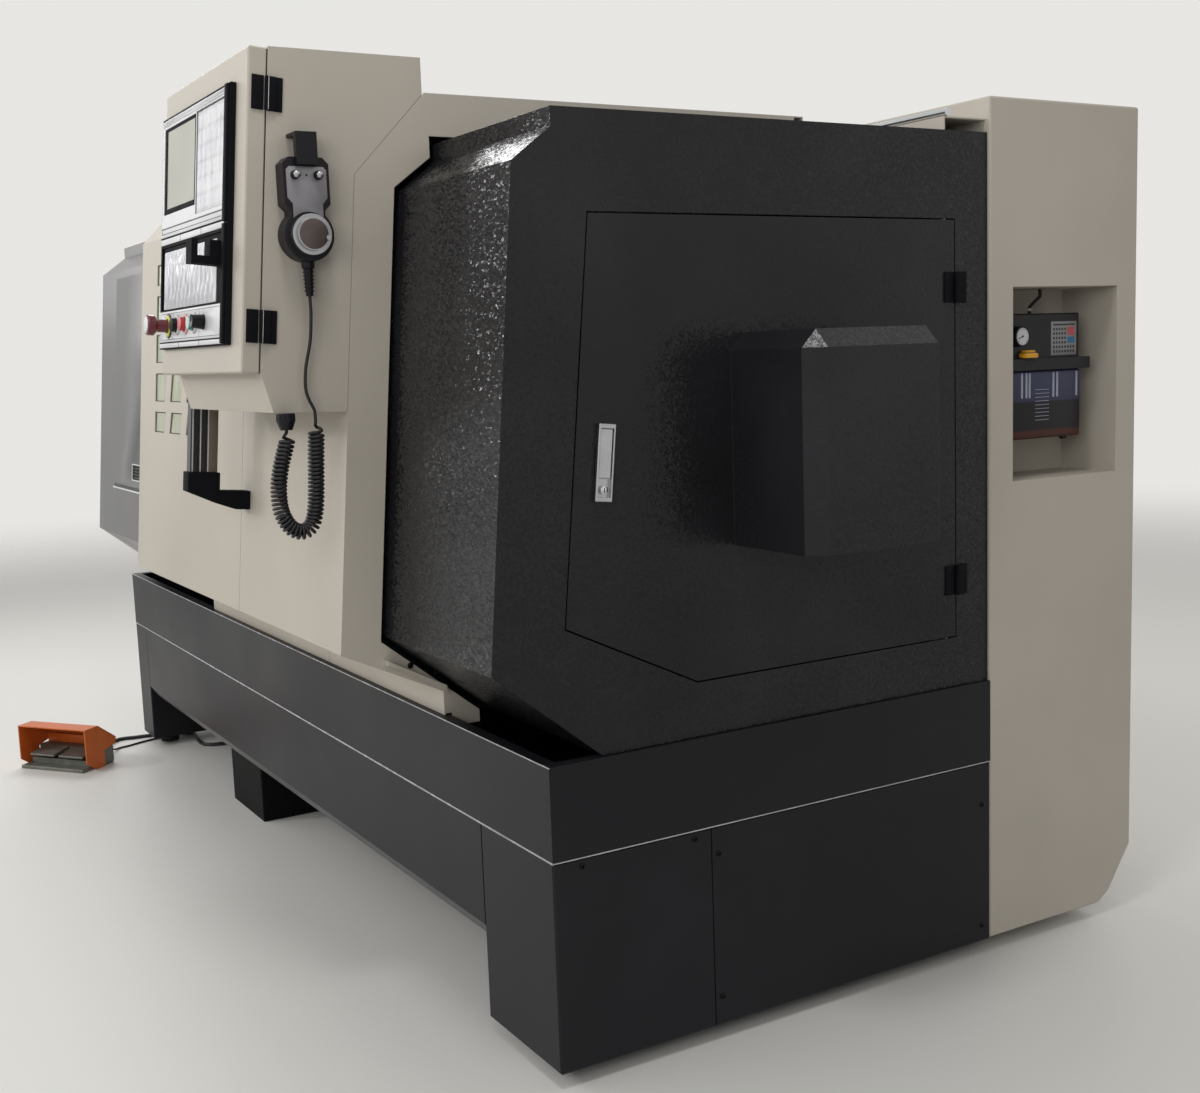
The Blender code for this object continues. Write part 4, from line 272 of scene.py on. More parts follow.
# The pendant's cable is one of 6.6 mm: from the gland it drops as a coil of 27 mm, turns up
# again and runs on straight into the strain relief.
pendant_cord_radius = 0.0033
curl_radius = 0.0134
curl_pitch = 0.0080
curl_steps = 14
curl_ramp = 0.024
curl_slowest = 0.2
cord_x = -0.4667
gland_tip_z = 1.2205
relief_tip_z = 1.4767
curl_route = smooth_route([place(cord_x, y, z) for y, z in (
    (-0.297, gland_tip_z), (-0.297, 1.211), (-0.297, 1.201), (-0.304, 1.178), (-0.314, 1.145),
    (-0.320, 1.105), (-0.317, 1.062), (-0.300, 1.030), (-0.276, 1.020), (-0.256, 1.034),
    (-0.247, 1.070), (-0.243, 1.120), (-0.240, 1.170), (-0.237, 1.212), (-0.237, 1.223),
    (-0.237, 1.234))], curl_pitch / curl_steps)
lead_route = smooth_route([place(cord_x, y, z) for y, z in (
    (-0.237, 1.236), (-0.237, 1.243), (-0.237, 1.251), (-0.239, 1.260), (-0.247, 1.276),
    (-0.253, 1.300), (-0.250, 1.340), (-0.238, 1.390), (-0.233, 1.440),
    (-0.233, relief_tip_z))], 0.010)


def curled(route, radius, steps, ramp_length):
    """A coil about a route that lies in one plane across X.

    It starts and ends on the route, with longer turns there, so that it never kinks."""
    coil = []
    angle = 0.0
    step = (route[1] - route[0]).length
    ramp_points = ramp_length / step
    last = len(route) - 1
    for i, spot in enumerate(route):
        ahead = (route[min(i + 1, last)] - route[max(i - 1, 0)]).normalized()
        side = Vector((1, 0, 0))
        across = ahead.cross(side)
        share = min(1.0, i / ramp_points, (last - i) / ramp_points)
        angle += 2 * math.pi / steps * (curl_slowest + (1 - curl_slowest) * share ** 4)
        reach = radius * share * share * (3 - 2 * share)
        coil.append(spot + (side * math.cos(angle) + across * math.sin(angle)) * reach)
    return coil


pendant_cord = cord("pendant_curly_cord", curled(curl_route, curl_radius, curl_steps, curl_ramp)
                    + lead_route[1:], pendant_cord_radius, "hood_right", "curly_cord",
                    far_end="object", lay="hanging", stiffness="limp")
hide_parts("pendant_lead")


# Floor and light: a plain pale floor that fades into the backdrop, and soft studio lamps. The
# window and roof lamps, the roof lamp being the strongest, stand beyond the headstock, so that
# the covers' front walls mirror them. The small aisle and ceiling lamps glint in wrinkled paint.
floor_size = 30.0
fade_start = 4.5
fade_end = 11.0
ambient_level = 0.44
backdrop_level = 0.92
floor_mesh = bpy.data.meshes.new("studio_floor")
floor_mesh.from_pydata([(-floor_size, -floor_size, 0), (floor_size, -floor_size, 0),
                        (floor_size, floor_size, 0), (-floor_size, floor_size, 0)], [],
                       [(0, 1, 2, 3)])
floor = bpy.data.objects.new("studio_floor", floor_mesh)
scene.collection.objects.link(floor)
# Its paint is pale and half matt, so that it takes soft shadows and no mirror image.
floor_finish, tree = blank("pale_floor_paint")
where = add(tree, "ShaderNodeTexCoord").outputs["Object"]
distance = add(tree, "ShaderNodeVectorMath", {"Vector": where}, operation="LENGTH")
fade = add(tree, "ShaderNodeMapRange", {"Value": distance.outputs["Value"],
                                        "From Min": fade_start, "From Max": fade_end},
           interpolation_type="SMOOTHSTEP")
paint = add(tree, "ShaderNodeBsdfPrincipled", {"Base Color": linear("D9D8D4"), "Roughness": 0.45})
clear = add(tree, "ShaderNodeBsdfTransparent")
blend = add(tree, "ShaderNodeMixShader", {"Fac": fade.outputs["Result"]})
tree.links.new(paint.outputs["BSDF"], blend.inputs[1])
tree.links.new(clear.outputs["BSDF"], blend.inputs[2])
add(tree, "ShaderNodeOutputMaterial", {"Surface": blend.outputs["Shader"]})
floor_mesh.materials.append(floor_finish)

# The room is brighter to the camera and in reflections than as light, so that shadows stay deep.
world = bpy.data.worlds.new("studio")
scene.world = world
world.use_nodes = True
tree = world.node_tree
tree.nodes.clear()
rays = add(tree, "ShaderNodeLightPath")
direct = add(tree, "ShaderNodeMath", {0: rays.outputs["Is Camera Ray"],
                                      1: rays.outputs["Is Glossy Ray"]}, operation="MAXIMUM")
seen = add(tree, "ShaderNodeMath", {0: direct.outputs["Value"],
                                    1: rays.outputs["Is Transmission Ray"]}, operation="MAXIMUM")
level = add(tree, "ShaderNodeMapRange", {"Value": seen.outputs["Value"],
                                         "To Min": ambient_level, "To Max": backdrop_level})
backdrop = add(tree, "ShaderNodeBackground", {"Color": linear("F0EFEC"),
                                              "Strength": level.outputs["Result"]})
add(tree, "ShaderNodeOutputWorld", {"Surface": backdrop.outputs["Background"]})


def lamp(name, spot, aim, width, height, power, mirrored=True):
    """A soft rectangular lamp aimed at a point, mirrored in glossy paint or not."""
    data = bpy.data.lights.new(name, "AREA")
    data.shape = "RECTANGLE"
    data.size = width
    data.size_y = height
    data.energy = power
    obj = bpy.data.objects.new(name, data)
    obj.location = spot
    obj.rotation_euler = (Vector(aim) - Vector(spot)).to_track_quat("-Z", "Y").to_euler()
    obj.visible_glossy = mirrored
    scene.collection.objects.link(obj)


lamp("key_lamp", (-0.6, -5.2, 3.9), (0.0, -0.4, 1.0), 4.0, 2.4, 66.0)
lamp("end_lamp", (4.6, -4.0, 2.6), (1.0, -0.4, 1.2), 2.6, 2.0, 62.0, False)
lamp("back_lamp", (1.5, 4.6, 4.2), (0.0, 0.6, 1.2), 3.0, 2.0, 60.0, False)
lamp("window_lamp", (-4.6, -2.9, 3.0), (0.3, -0.5, 1.2), 3.0, 2.4, 42.0)
lamp("roof_lamp", (-4.0, 0.2, 4.3), (0.9, -0.5, 1.7), 2.6, 1.6, 100.0)
lamp("aisle_lamp", (-2.1, -4.2, 2.5), (1.4, -0.5, 1.5), 0.8, 0.5, 36.0)
lamp("ceiling_lamp", (2.15, -1.06, 4.2), (1.7, -0.2, 1.4), 0.6, 0.6, 26.0)


# Base: pedestals and apron are welded of sheet steel and powder coated. The end plate of the
# right pedestal is held by six black button-head screws.
def dress(finish, *nodes):
    """Gives solids of the model their finish."""
    for name in nodes:
        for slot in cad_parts[name].material_slots:
            slot.material = finish


# Baked polyester, smooth and near black, with a low sheen that drifts over the large sheets.
graphite_coat = coated("graphite_polyester_powder_coat",
                       [(0.30, "16161A"), (0.55, "1C1C20"), (0.75, "222227")], 260, 2.5, 0.05,
                       (0.36, 0.48), edge_mm=1.5, ior=1.28)
dress(graphite_coat, "right_pedestal", "left_pedestal", "front_apron")


def merge(shape, part, turn):
    """Adds one set of faces to another, turned into its place."""
    part.transform(turn)
    holder = bpy.data.meshes.new("part")
    part.to_mesh(holder)
    part.free()
    shape.from_mesh(holder)
    bpy.data.meshes.remove(holder)
    return shape


def turned(shape, profile, turn=Matrix(), steps=48):
    """Adds a solid turned about Z from (radius, height) points."""
    part = bmesh.new()
    rings = []
    for radius, height in profile:
        if radius == 0:
            rings.append([part.verts.new((0, 0, height))])
        else:
            rings.append([part.verts.new((radius * math.cos(2 * math.pi * i / steps),
                                          radius * math.sin(2 * math.pi * i / steps), height))
                          for i in range(steps)])
    for lower, upper in zip(rings, rings[1:]):
        for i in range(steps):
            corners = (lower[i % len(lower)], lower[(i + 1) % len(lower)],
                       upper[(i + 1) % len(upper)], upper[i % len(upper)])
            corners = list(dict.fromkeys(corners))
            if len(corners) > 2:
                part.faces.new(corners)
    bmesh.ops.recalc_face_normals(part, faces=part.faces[:])
    return merge(shape, part, turn)


def show(name, mesh, finish, body, angle=40.0):
    """A finished piece: smooth but for its sharp edges, riding on its body."""
    mesh.materials.clear()
    mesh.materials.append(finish)
    mesh.shade_smooth()
    mesh.set_sharp_from_angle(angle=math.radians(angle))
    obj = bpy.data.objects.new(name, mesh)
    scene.collection.objects.link(obj)
    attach(obj, body)
    return obj


def piece(name, shape, finish, body, angle=40.0):
    """The piece made of a set of faces."""
    mesh = bpy.data.meshes.new(name)
    shape.to_mesh(mesh)
    shape.free()
    return show(name, mesh, finish, body, angle)


def repeated(name, places, unit, size, finish, body, turn=(0.0, 0.0, 0.0)):
    """Copies of a unit shape on a list of places, made by Geometry Nodes."""
    tree = bpy.data.node_groups.new(name, "GeometryNodeTree")
    tree.interface.new_socket(name="Places", in_out="INPUT", socket_type="NodeSocketGeometry")
    values = {"Shape": ("NodeSocketObject", None), "Width": ("NodeSocketFloat", size[0]),
              "Depth": ("NodeSocketFloat", size[1]), "Height": ("NodeSocketFloat", size[2]),
              "Turn": ("NodeSocketVector", turn), "Finish": ("NodeSocketMaterial", finish)}
    sockets = {label: tree.interface.new_socket(name=label, in_out="INPUT", socket_type=kind)
               for label, (kind, value) in values.items()}
    tree.interface.new_socket(name="Copies", in_out="OUTPUT", socket_type="NodeSocketGeometry")
    entry = add(tree, "NodeGroupInput").outputs
    model = add(tree, "GeometryNodeObjectInfo", {"Object": entry["Shape"]})
    scale = add(tree, "ShaderNodeCombineXYZ", {"X": entry["Width"], "Y": entry["Depth"],
                                               "Z": entry["Height"]})
    copies = add(tree, "GeometryNodeInstanceOnPoints", {
        "Points": entry["Places"], "Instance": model.outputs["Geometry"],
        "Rotation": entry["Turn"], "Scale": scale.outputs["Vector"]})
    solid = add(tree, "GeometryNodeRealizeInstances", {"Geometry": copies.outputs["Instances"]})
    coloured = add(tree, "GeometryNodeSetMaterial", {"Geometry": solid.outputs["Geometry"],
                                                     "Material": entry["Finish"]})
    add(tree, "NodeGroupOutput", {"Copies": coloured.outputs["Geometry"]})
    seeds = bpy.data.meshes.new(name + "_places")
    seeds.from_pydata([tuple(spot) for spot in places], [], [])
    carrier = bpy.data.objects.new(name + "_carrier", seeds)
    scene.collection.objects.link(carrier)
    modifier = carrier.modifiers.new("copies", "NODES")
    modifier.node_group = tree
    unit_mesh = bpy.data.meshes.new(name + "_unit")
    unit.to_mesh(unit_mesh)
    unit.free()
    model_object = bpy.data.objects.new(name + "_unit", unit_mesh)
    scene.collection.objects.link(model_object)
    for label, (kind, value) in values.items():
        modifier[sockets[label].identifier] = model_object if label == "Shape" else value
    bpy.context.view_layer.update()
    graph = bpy.context.evaluated_depsgraph_get()
    mesh = bpy.data.meshes.new_from_object(carrier.evaluated_get(graph))
    bpy.data.objects.remove(carrier)
    bpy.data.objects.remove(model_object)
    mesh.name = name
    return show(name, mesh, finish, body)


def button_head():
    """A button-head screw of width and height 1, with its socket, pointing up Z."""
    return turned(bmesh.new(), [(0, 0.35), (0.21, 0.35), (0.24, 0.98), (0.34, 0.92), (0.45, 0.62),
                                (0.5, 0.2), (0.5, -0.2), (0, -0.2)], steps=20)


# Black oxide leaves the steel's sheen, so the heads keep a small dark glint.
screw_black = coated("black_oxide_screw_steel", pair("101012", "1C1C1F"), 12, 0.8, 0.01,
                     (0.3, 0.45), metallic=0.8, edge_mm=0.3)
facing_end = (0.0, math.radians(90), 0.0)
facing_headstock = (0.0, math.radians(-90), 0.0)


def screws(name, places, width, height, body, turn=facing_end):
    """Black button-head screws on a list of places."""
    repeated(name, places, button_head(), (width, width, height), screw_black, body,
             turn)


screws("pedestal_screws", [place(0.0, y, z) for y, z in (
    (0.062, 0.399), (0.317, 0.399), (0.373, 0.358), (0.374, 0.060), (1.090, 0.319),
    (1.089, 0.038))], 0.012, 0.0035, "machine")


# Chip tray: its lower and its upper rim are folded edges of sheet steel, drawn with thin pale
# strips that are painted highlights. The folded lip under the front apron has a paler, glossier
# strip whose paler colour is a painted reflection of the floor.
def block(shape, low, high, turn=Matrix(), bevel=0.0, steps=2):
    """Adds a box with rounded edges."""
    part = bmesh.new()
    bmesh.ops.create_cube(part, size=1.0)
    for vert in part.verts:
        vert.co = Vector([low[i] + (high[i] - low[i]) * (vert.co[i] + 0.5) for i in range(3)])
    if bevel:
        bmesh.ops.bevel(part, geom=part.edges[:], offset=bevel, segments=steps, profile=0.5,
                        affect="EDGES", clamp_overlap=True)
    return merge(shape, part, turn)


def blocks(boxes, turn=Matrix(), bevel=0.0, steps=2):
    """One shape of several boxes, each from its low to its high corner."""
    shape = bmesh.new()
    for low, high in boxes:
        block(shape, low, high, turn, bevel, steps)
    return shape


def plate(shape, outline, start, end, turn=Matrix(), holes=(), bevel=0.0):
    """Adds a flat plate: an outline in X and Y with holes, between two heights."""
    part = bmesh.new()
    rims = []
    for loop in (outline, *holes):
        verts = [part.verts.new((x, y, start)) for x, y in loop]
        rims += [part.edges.new(pair) for pair in zip(verts, verts[1:] + verts[:1])]
    bmesh.ops.triangle_fill(part, edges=rims, use_beauty=True)
    tops = {vert: part.verts.new((vert.co.x, vert.co.y, end)) for vert in part.verts[:]}
    for face in part.faces[:]:
        part.faces.new([tops[vert] for vert in reversed(face.verts)])
    for edge in rims:
        first, second = edge.verts
        part.faces.new((first, second, tops[second], tops[first]))
    bmesh.ops.recalc_face_normals(part, faces=part.faces[:])
    if bevel:
        bmesh.ops.dissolve_limit(part, angle_limit=0.01, verts=part.verts[:], edges=part.edges[:])
        sharp = [edge for edge in part.edges if edge.calc_face_angle(0.0) > 0.5]
        bmesh.ops.bevel(part, geom=sharp, offset=bevel, segments=2, profile=0.5, affect="EDGES",
                        clamp_overlap=True)
    return merge(shape, part, turn)


def rectangle(left, right, low, high):
    """The outline of a rectangle."""
    return [(left, low), (right, low), (right, high), (left, high)]


corner_frame = at(0, 0, 0)
dress(graphite_coat, "chip_tray")
# Pale, half-metallic strips along the rims: painted highlights on the folded edges.
rim_highlight_paint = coated("graphite_rim_painted_highlight", pair("9A9A9F", "BCBCC1"), 25, 1.0, 0.02,
                      (0.2, 0.32), metallic=0.4, edge_mm=0.5)
tray_back = 1.1140
tray_rim = blocks((((-3.204, -0.0012, 0.4130), (0.0012, 0.0010, 0.4168)),
                   ((-0.0010, -0.0012, 0.4136), (0.0012, tray_back, 0.4160))),
                  corner_frame, 0.0005)
piece("tray_rubbed_rim", tray_rim, rim_highlight_paint, "machine")
top_rim_low = 0.5960
top_rim_high = 0.5984
tray_top_rim = blocks((((-3.204, -0.0009, top_rim_low), (0.0009, 0.0008, top_rim_high)),
                       ((-3.2059, -0.0009, top_rim_low), (-3.2042, tray_back, top_rim_high))),
                      corner_frame, 0.0004)
piece("tray_top_rim", tray_top_rim, rim_highlight_paint, "machine")
# A strip on the lip, paler and glossier than the powder coat: its paler colour is a painted
# reflection of the pale floor.
lip_reflection_enamel = coated("graphite_lip_painted_reflection", pair("26262A", "303035"), 200, 2.5, 0.03,
                         (0.3, 0.42), edge_mm=1.0, ior=1.7)
lip_turn = at(0, 0.022, 0.165) @ Matrix.Rotation(math.radians(122.15), 4, "X")
apron_lip = plate(bmesh.new(), rectangle(-3.0537, -0.3043, 0.0010, 0.0402), -0.0002, 0.0005,
                  lip_turn)
piece("apron_lip_coat", apron_lip, lip_reflection_enamel, "machine")


# Coolant tank: a welded steel box on the floor under the tray, in flat black enamel. Its near-black
# colour also paints the shade under the tray, so that it stays a dark shape.
tank_black_and_shade_enamel = coated("matt_black_tank_enamel_painted_shade", pair("08090A", "101112"), 120, 2.0, 0.05,
                     (0.6, 0.75), ior=1.2)
dress(tank_black_and_shade_enamel, "coolant_tank")


# Mechanism: bed, headstock, carriage, cross slide and tailstock are cast, spindle, jaws, screw,
# turret and quill are of steel, and two motors drive them, one over a belt. It shows only when
# the hoods or the tail door are open.

# Machined cast iron is a dull grey metal, mottled by its graphite.
grey_iron = coated("machined_grey_cast_iron", [(0.3, "4F5255"), (0.5, "63676A"), (0.7, "74787B")],
                   90, 1.2, 0.10, (0.38, 0.55), metallic=1.0)
dress(grey_iron, "bed", "headstock", "carriage", "cross_slide", "tailstock", "motor_pulley")
# Ground tool steel is bright, with slightly blurred reflections.
ground_steel = coated("ground_tool_steel", pair("9A9C9F", "B8BABD"), 60, 0.8, 0.02, (0.16, 0.30),
                      metallic=1.0)
dress(ground_steel, "spindle", "jaw_1", "jaw_2", "jaw_3", "ball_screw", "turret", "quill",
      "tail_handwheel")
# Sprayed motor enamel is an even blue grey with a satin sheen.
motor_enamel = coated("blue_grey_motor_enamel", pair("343C44", "444D56"), 120, 1.8, 0.05,
                      (0.35, 0.5))
dress(motor_enamel, "main_motor", "feed_motor")
# Rubber is dusty black and quite dull.
belt_rubber = coated("ribbed_neoprene_rubber", pair("111113", "1D1D1F"), 30, 1.0, 0.05, (0.6, 0.8))
dress(belt_rubber, "drive_belt")


# Headstock cover: folded sheet steel. Its front has a screwed access panel with a bright lower
# lip, and near its foot a small louvred air outlet in a pale folded frame. A plate on such a
# wall is drawn flat and stood up: its X stays, and its Y becomes the wall's slope.

# Its wrinkled polyester is baked glossy, so that the front wall mirrors the lamps. The wrinkles
# are drawn coarser than real, so that they show.
satin_coat = coated("black_satin_powder_coat",
                    [(0.30, "232326"), (0.52, "2A2A2D"), (0.72, "303033")], 240, 5.0, 0.25,
                    (0.22, 0.32), edge_mm=2.0, ior=1.6)
dress(satin_coat, "headstock_cover")
lean = 0.0917
lean_back = Matrix.Rotation(-lean, 4, "X")
stand_up = Matrix.Rotation(math.radians(90), 4, "X")
cover_wall = at(0, -0.104, 0.781) @ lean_back @ stand_up
access_left = -2.965
access_right = -2.240
access_low = 0.176
access_high = 0.880
vent_left = -2.690
vent_right = -2.440
vent_low = 0.203
vent_high = 0.252
vent_hole = rectangle(vent_left, vent_right, vent_low, vent_high)
behind_wall = -0.0005
access = plate(bmesh.new(), rectangle(access_left, access_right, access_low, access_high),
               behind_wall, 0.0040, cover_wall, [vent_hole], bevel=0.0008)
piece("access_panel", access, satin_coat, "machine")
seam_low = access_low - 0.010
seam_gap = 0.001
access_seam = bmesh.new()
for seam in (rectangle(access_left, access_right, seam_low, access_low - seam_gap),
             rectangle(access_left - 0.004, access_left - seam_gap, seam_low, access_high)):
    plate(access_seam, seam, behind_wall, 0.0012, cover_wall)
piece("access_panel_seam", access_seam, screw_black, "machine")
# Trim enamel: pale and satin, so the folded edges stand out from the black wall.
pale_frame_coat = coated("pale_grey_enamel_trim", pair("C9C9C6", "DADAD7"), 60, 1.5, 0.03,
                         (0.3, 0.42), edge_mm=0.6)
frame_width = 0.003
frame_front = 0.0060
vent_frame = plate(bmesh.new(), rectangle(vent_left - frame_width, vent_right + frame_width,
                                          vent_low - frame_width, vent_high + frame_width),
                   0.0, frame_front, cover_wall, [vent_hole], bevel=0.0006)
plate(vent_frame, rectangle(access_left, access_right, access_low - 0.0155,
                            access_low - 0.0105), behind_wall, frame_front, cover_wall,
      bevel=0.0006)
piece("vent_frame", vent_frame, pale_frame_coat, "machine")


def unit_block(bevel=0.0, steps=1):
    """A box of size 1, to be copied and scaled."""
    return block(bmesh.new(), (-0.5, -0.5, -0.5), (0.5, 0.5, 0.5), bevel=bevel, steps=steps)


slat_count = 5
slat_pitch = (vent_high - vent_low) / slat_count
slat_places = [cover_wall @ Vector(((vent_left + vent_right) / 2,
                                    vent_low + slat_pitch * (i + 0.5), 0.0018))
               for i in range(slat_count)]
repeated("vent_slats", slat_places, unit_block(0.08),
         (vent_right - vent_left, 0.0022, slat_pitch * 1.05), screw_black, "machine",
         (math.radians(38), 0.0, 0.0))


# Rear wall: a plain steel sheet behind the hoods. Along its top lies the hard-chromed rail on
# which they run.

# This warm grey polyester has a fine orange peel, which keeps it pale and evenly dull.
warm_coat = coated("warm_grey_polyester_powder_coat",
                   [(0.30, "AFA89D"), (0.55, "B8B1A6"), (0.75, "BFB8AD")], 420, 3.0, 0.08,
                   (0.48, 0.60), edge_mm=2.0, ior=1.38)
dress(warm_coat, "rear_wall")
# Hard chrome mirrors almost sharply, so the rail is a thin bright line.
rail_steel = coated("hard_chromed_rail_steel", pair("C2C4C6", "D6D8DA"), 80, 1.0, 0.01,
                    (0.06, 0.14), metallic=1.0)
dress(rail_steel, "upper_rail")


# Tail cover and door: folded sheet steel. Two black moulded hinges have a leaf on the door and a
# leaf with the barrel on the cover, held by button-head screws. The swing latch has a round push
# button with a key slot. A small gusset is welded in beside the cut corner of the door's bulge.
def wrinkled(name, glitter):
    """Black wrinkle coat: a knotted skin that glitters at a grazing angle.

    Its facets are drawn at 3.6 mm, coarser than the real 1 mm, so that they show."""
    return coated(name, [(0.30, "1B1B1D"), (0.52, "212124"), (0.72, "28282B")], 240, 3.6, 0.6,
                  (0.18, 0.24), edge_mm=2.0, ior=1.3, squeeze=(0.5, 1.0, 1.0), glitter=glitter)


# The door's coat is flatter, so that it glitters less than the cover's.
wrinkle_coat = wrinkled("black_wrinkle_powder_coat", 0.3)
flat_wrinkle_coat = wrinkled("black_wrinkle_powder_coat_flat", 0.14)
dress(wrinkle_coat, "tail_cover")
dress(flat_wrinkle_coat, "tail_door")
to_end = Matrix(((0, 0, 1, 0), (1, 0, 0, 0), (0, 1, 0, 0), (0, 0, 0, 1)))
end_wall = corner_frame @ to_end
corner_gusset = plate(bmesh.new(), [(0.4365, 1.3435), (0.4715, 1.3785), (0.4365, 1.3785)],
                      -0.0110, -0.0081, end_wall)
piece("bulge_corner_gusset", corner_gusset, flat_wrinkle_coat, "end_door")
# Spark-eroded ABS is matt: it shows no highlight, and hardly an edge.
matt_abs = coated("matt_textured_black_abs", pair("0F0F13", "16161A"), 50, 1.4, 0.04, (0.75, 0.9),
                  edge_mm=1.0, ior=1.2)
leaf_back = -0.0078
leaf_front = -0.0044
leaf_half = 0.032
cover_leaf_more = 0.0007
leaf_bevel = 0.0005
barrel = [(0.0051, -leaf_half), (0.0058, -leaf_half), (0.0058, leaf_half), (0.0051, leaf_half),
          (0.0051, -leaf_half)]
screw_offset = 0.020
screw_seat = -0.0052
door_leaves = bmesh.new()
cover_leaves = bmesh.new()
hinge_screws_door = []
hinge_screws_cover = []
for height in (1.458, 0.834):
    low = height - leaf_half
    high = height + leaf_half
    block(door_leaves, (leaf_back, 0.9895, low), (leaf_front, 1.0134, high), corner_frame,
          leaf_bevel)
    block(cover_leaves, (leaf_back, 1.0330, low - cover_leaf_more),
          (leaf_front, 1.0515, high + cover_leaf_more), corner_frame, leaf_bevel)
    block(cover_leaves, (-0.0060, 1.0240, low), (0.0006, 1.0362, high), corner_frame, leaf_bevel)
    turned(cover_leaves, barrel, at(0.0, 1.0205, height), steps=32)
    for step in (-screw_offset, screw_offset):
        hinge_screws_door.append(place(screw_seat, 1.0005, height + step))
        hinge_screws_cover.append(place(screw_seat, 1.0440, height + step))
piece("tail_door_hinge_leaves", door_leaves, matt_abs, "end_door")
piece("tail_cover_hinge_leaves", cover_leaves, matt_abs, "machine")
screws("tail_door_hinge_screws", hinge_screws_door, 0.007, 0.0018, "end_door")
screws("tail_cover_hinge_screws", hinge_screws_cover, 0.007, 0.0018, "machine")


def anodised(name, dark, light, rough, metallic, edge_mm=0.5, patch_mm=40):
    """Etched and anodised aluminium: an even, silky metal without a visible grain."""
    return coated(name, pair(dark, light), patch_mm, 0.5, 0.01, rough, metallic=metallic,
                  edge_mm=edge_mm)


silver_anodising = anodised("satin_anodised_aluminium", "A5A6A8", "BFC0C2", (0.26, 0.36), 1.0, 0.8)
dress(silver_anodising, "latch_dish", "latch_handle")


def moved(turn, x, y, z):
    """A frame moved along its own axes."""
    return turn @ Matrix.Translation((x, y, z))


latch_tilt = -0.1041
latch_frame = (at(-0.0077, 0.1435, 1.148) @ Matrix.Rotation(latch_tilt, 4, "X")
               @ Matrix.Rotation(math.radians(90), 4, "Y"))
latch_button = turned(bmesh.new(), [
    (0, 0.0088), (0.0014, 0.0088), (0.0014, 0.0098), (0.0068, 0.0098), (0.0078, 0.0090),
    (0.0078, 0.0030), (0, 0.0030)], moved(latch_frame, 0.050, 0, 0), steps=32)
piece("latch_button", latch_button, rail_steel, "end_door")
key_slot = block(bmesh.new(), (0.0455, -0.0009, 0.0090), (0.0545, 0.0009, 0.0100), latch_frame,
                 0.0002)
piece("latch_key_slot", key_slot, screw_black, "end_door")


# Hoods: folded steel sheets on rollers, powder coated. The side sheet of each hood carries the
# two button-head bolts of its lower rollers.
dress(warm_coat, "right_hood", "left_hood")
for side, sheet_x, turn in (("right", -0.488, facing_end), ("left", -2.195, facing_headstock)):
    screws(side + "_hood_roller_bolts", [place(sheet_x, -0.056, 0.716),
                                         place(sheet_x, 0.001, 0.691)], 0.013, 0.004,
           "hood_" + side, turn)


# Window panes: clear polycarbonate, slightly green at its thickness. Its pale colour, in upright
# streaks, is a painted reflection of the bright room. Each opening of the grid has its pane in a
# black seal.
# The pane's pale, streaked colour is a painted reflection.
pane_reflection_paint, tree = blank("polycarbonate_painted_reflection")
streaks = add(tree, "ShaderNodeMapping", {
    "Vector": add(tree, "ShaderNodeTexCoord").outputs["Object"], "Scale": (1.0, 1.0, 0.12)})
runs = add(tree, "ShaderNodeTexNoise", {"Vector": streaks.outputs["Vector"], "Scale": 40.0,
                                        "Detail": 3.0}).outputs["Fac"]
surfaced(tree, {"Base Color": ramp(tree, runs, [(0.3, "93997F"), (0.55, "A4AA8F"),
                                                (0.75, "B6BAA2")]),
                "Roughness": spread(tree, noise(tree, 90, 4.0), 0.08, 0.24), "IOR": 1.45})
window_wall = at(-2.020, -0.1684, 1.166) @ lean_back @ stand_up
window_columns = 4
window_rows = (0.058, 0.080, 0.080, 0.080, 0.058)
window_pitch = 0.170
window_width = 0.112
window_slant = 0.008
window_gap = 0.030
pane_front = -0.0035
pane_thickness = 0.003
seal_back = pane_front - 0.004
seal_front = pane_front + 0.0012


def drawn_in(corners, by_x, by_y):
    """A four-cornered outline drawn in towards its middle, or out for less than nothing."""
    middle_x = sum(x for x, y in corners) / 4
    middle_y = sum(y for x, y in corners) / 4
    return [(x + math.copysign(1, middle_x - x) * by_x, y + math.copysign(1, middle_y - y) * by_y)
            for x, y in corners]


panes = bmesh.new()
seals = bmesh.new()
row_low = 0.0
for row_height in window_rows:
    for column in range(window_columns):
        left = window_pitch * column
        right = left + window_width
        low_shift = 0 if column == 0 else window_slant
        high_shift = 0 if column == window_columns - 1 else window_slant
        corners = [(left - low_shift, row_low), (right - high_shift, row_low),
                   (right + high_shift, row_low + row_height),
                   (left + low_shift, row_low + row_height)]
        seal_hole = drawn_in(corners, 0.0035, 0.0025)
        plate(panes, drawn_in(seal_hole, -0.0005, 0.0), pane_front - pane_thickness, pane_front,
              window_wall)
        plate(seals, drawn_in(corners, 0.0002, 0.0002), seal_back, seal_front, window_wall,
              [seal_hole])
    row_low += row_height + window_gap
panes_object = piece("window_panes", panes, pane_reflection_paint, "hood_left")
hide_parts("window_pane")
piece("window_seals", seals, belt_rubber, "hood_left")


# Panel plates: silver-white painted aluminium sheets, glued on the black moulded frame. They
# leave black borders round the screen, the key field and the buttons.
dress(matt_abs, "panel_frame")
panel_place = at(-0.488, -0.37237, 1.334) @ lean_back
panel_wall = panel_place @ stand_up
panel_face = 0.0123
plate_left = -0.566
plate_right = -0.090
plate_back = panel_face - 0.0005
plate_face = panel_face + 0.0012
upper_strip = (0.2830, 0.2955)
button_strip = (0.0700, 0.1365)
lower_strip = (0.0575, 0.0670)
button_row = 0.104
button_places = {"black": -0.41675, "red": -0.35075, "green": -0.28475}
estop_x = -0.490
knob_x = -0.21875


def ring_loop(x, radius, steps=40):
    """The outline of a round hole in the button row."""
    return [(x + radius * math.cos(2 * math.pi * i / steps),
             button_row + radius * math.sin(2 * math.pi * i / steps)) for i in range(steps)]


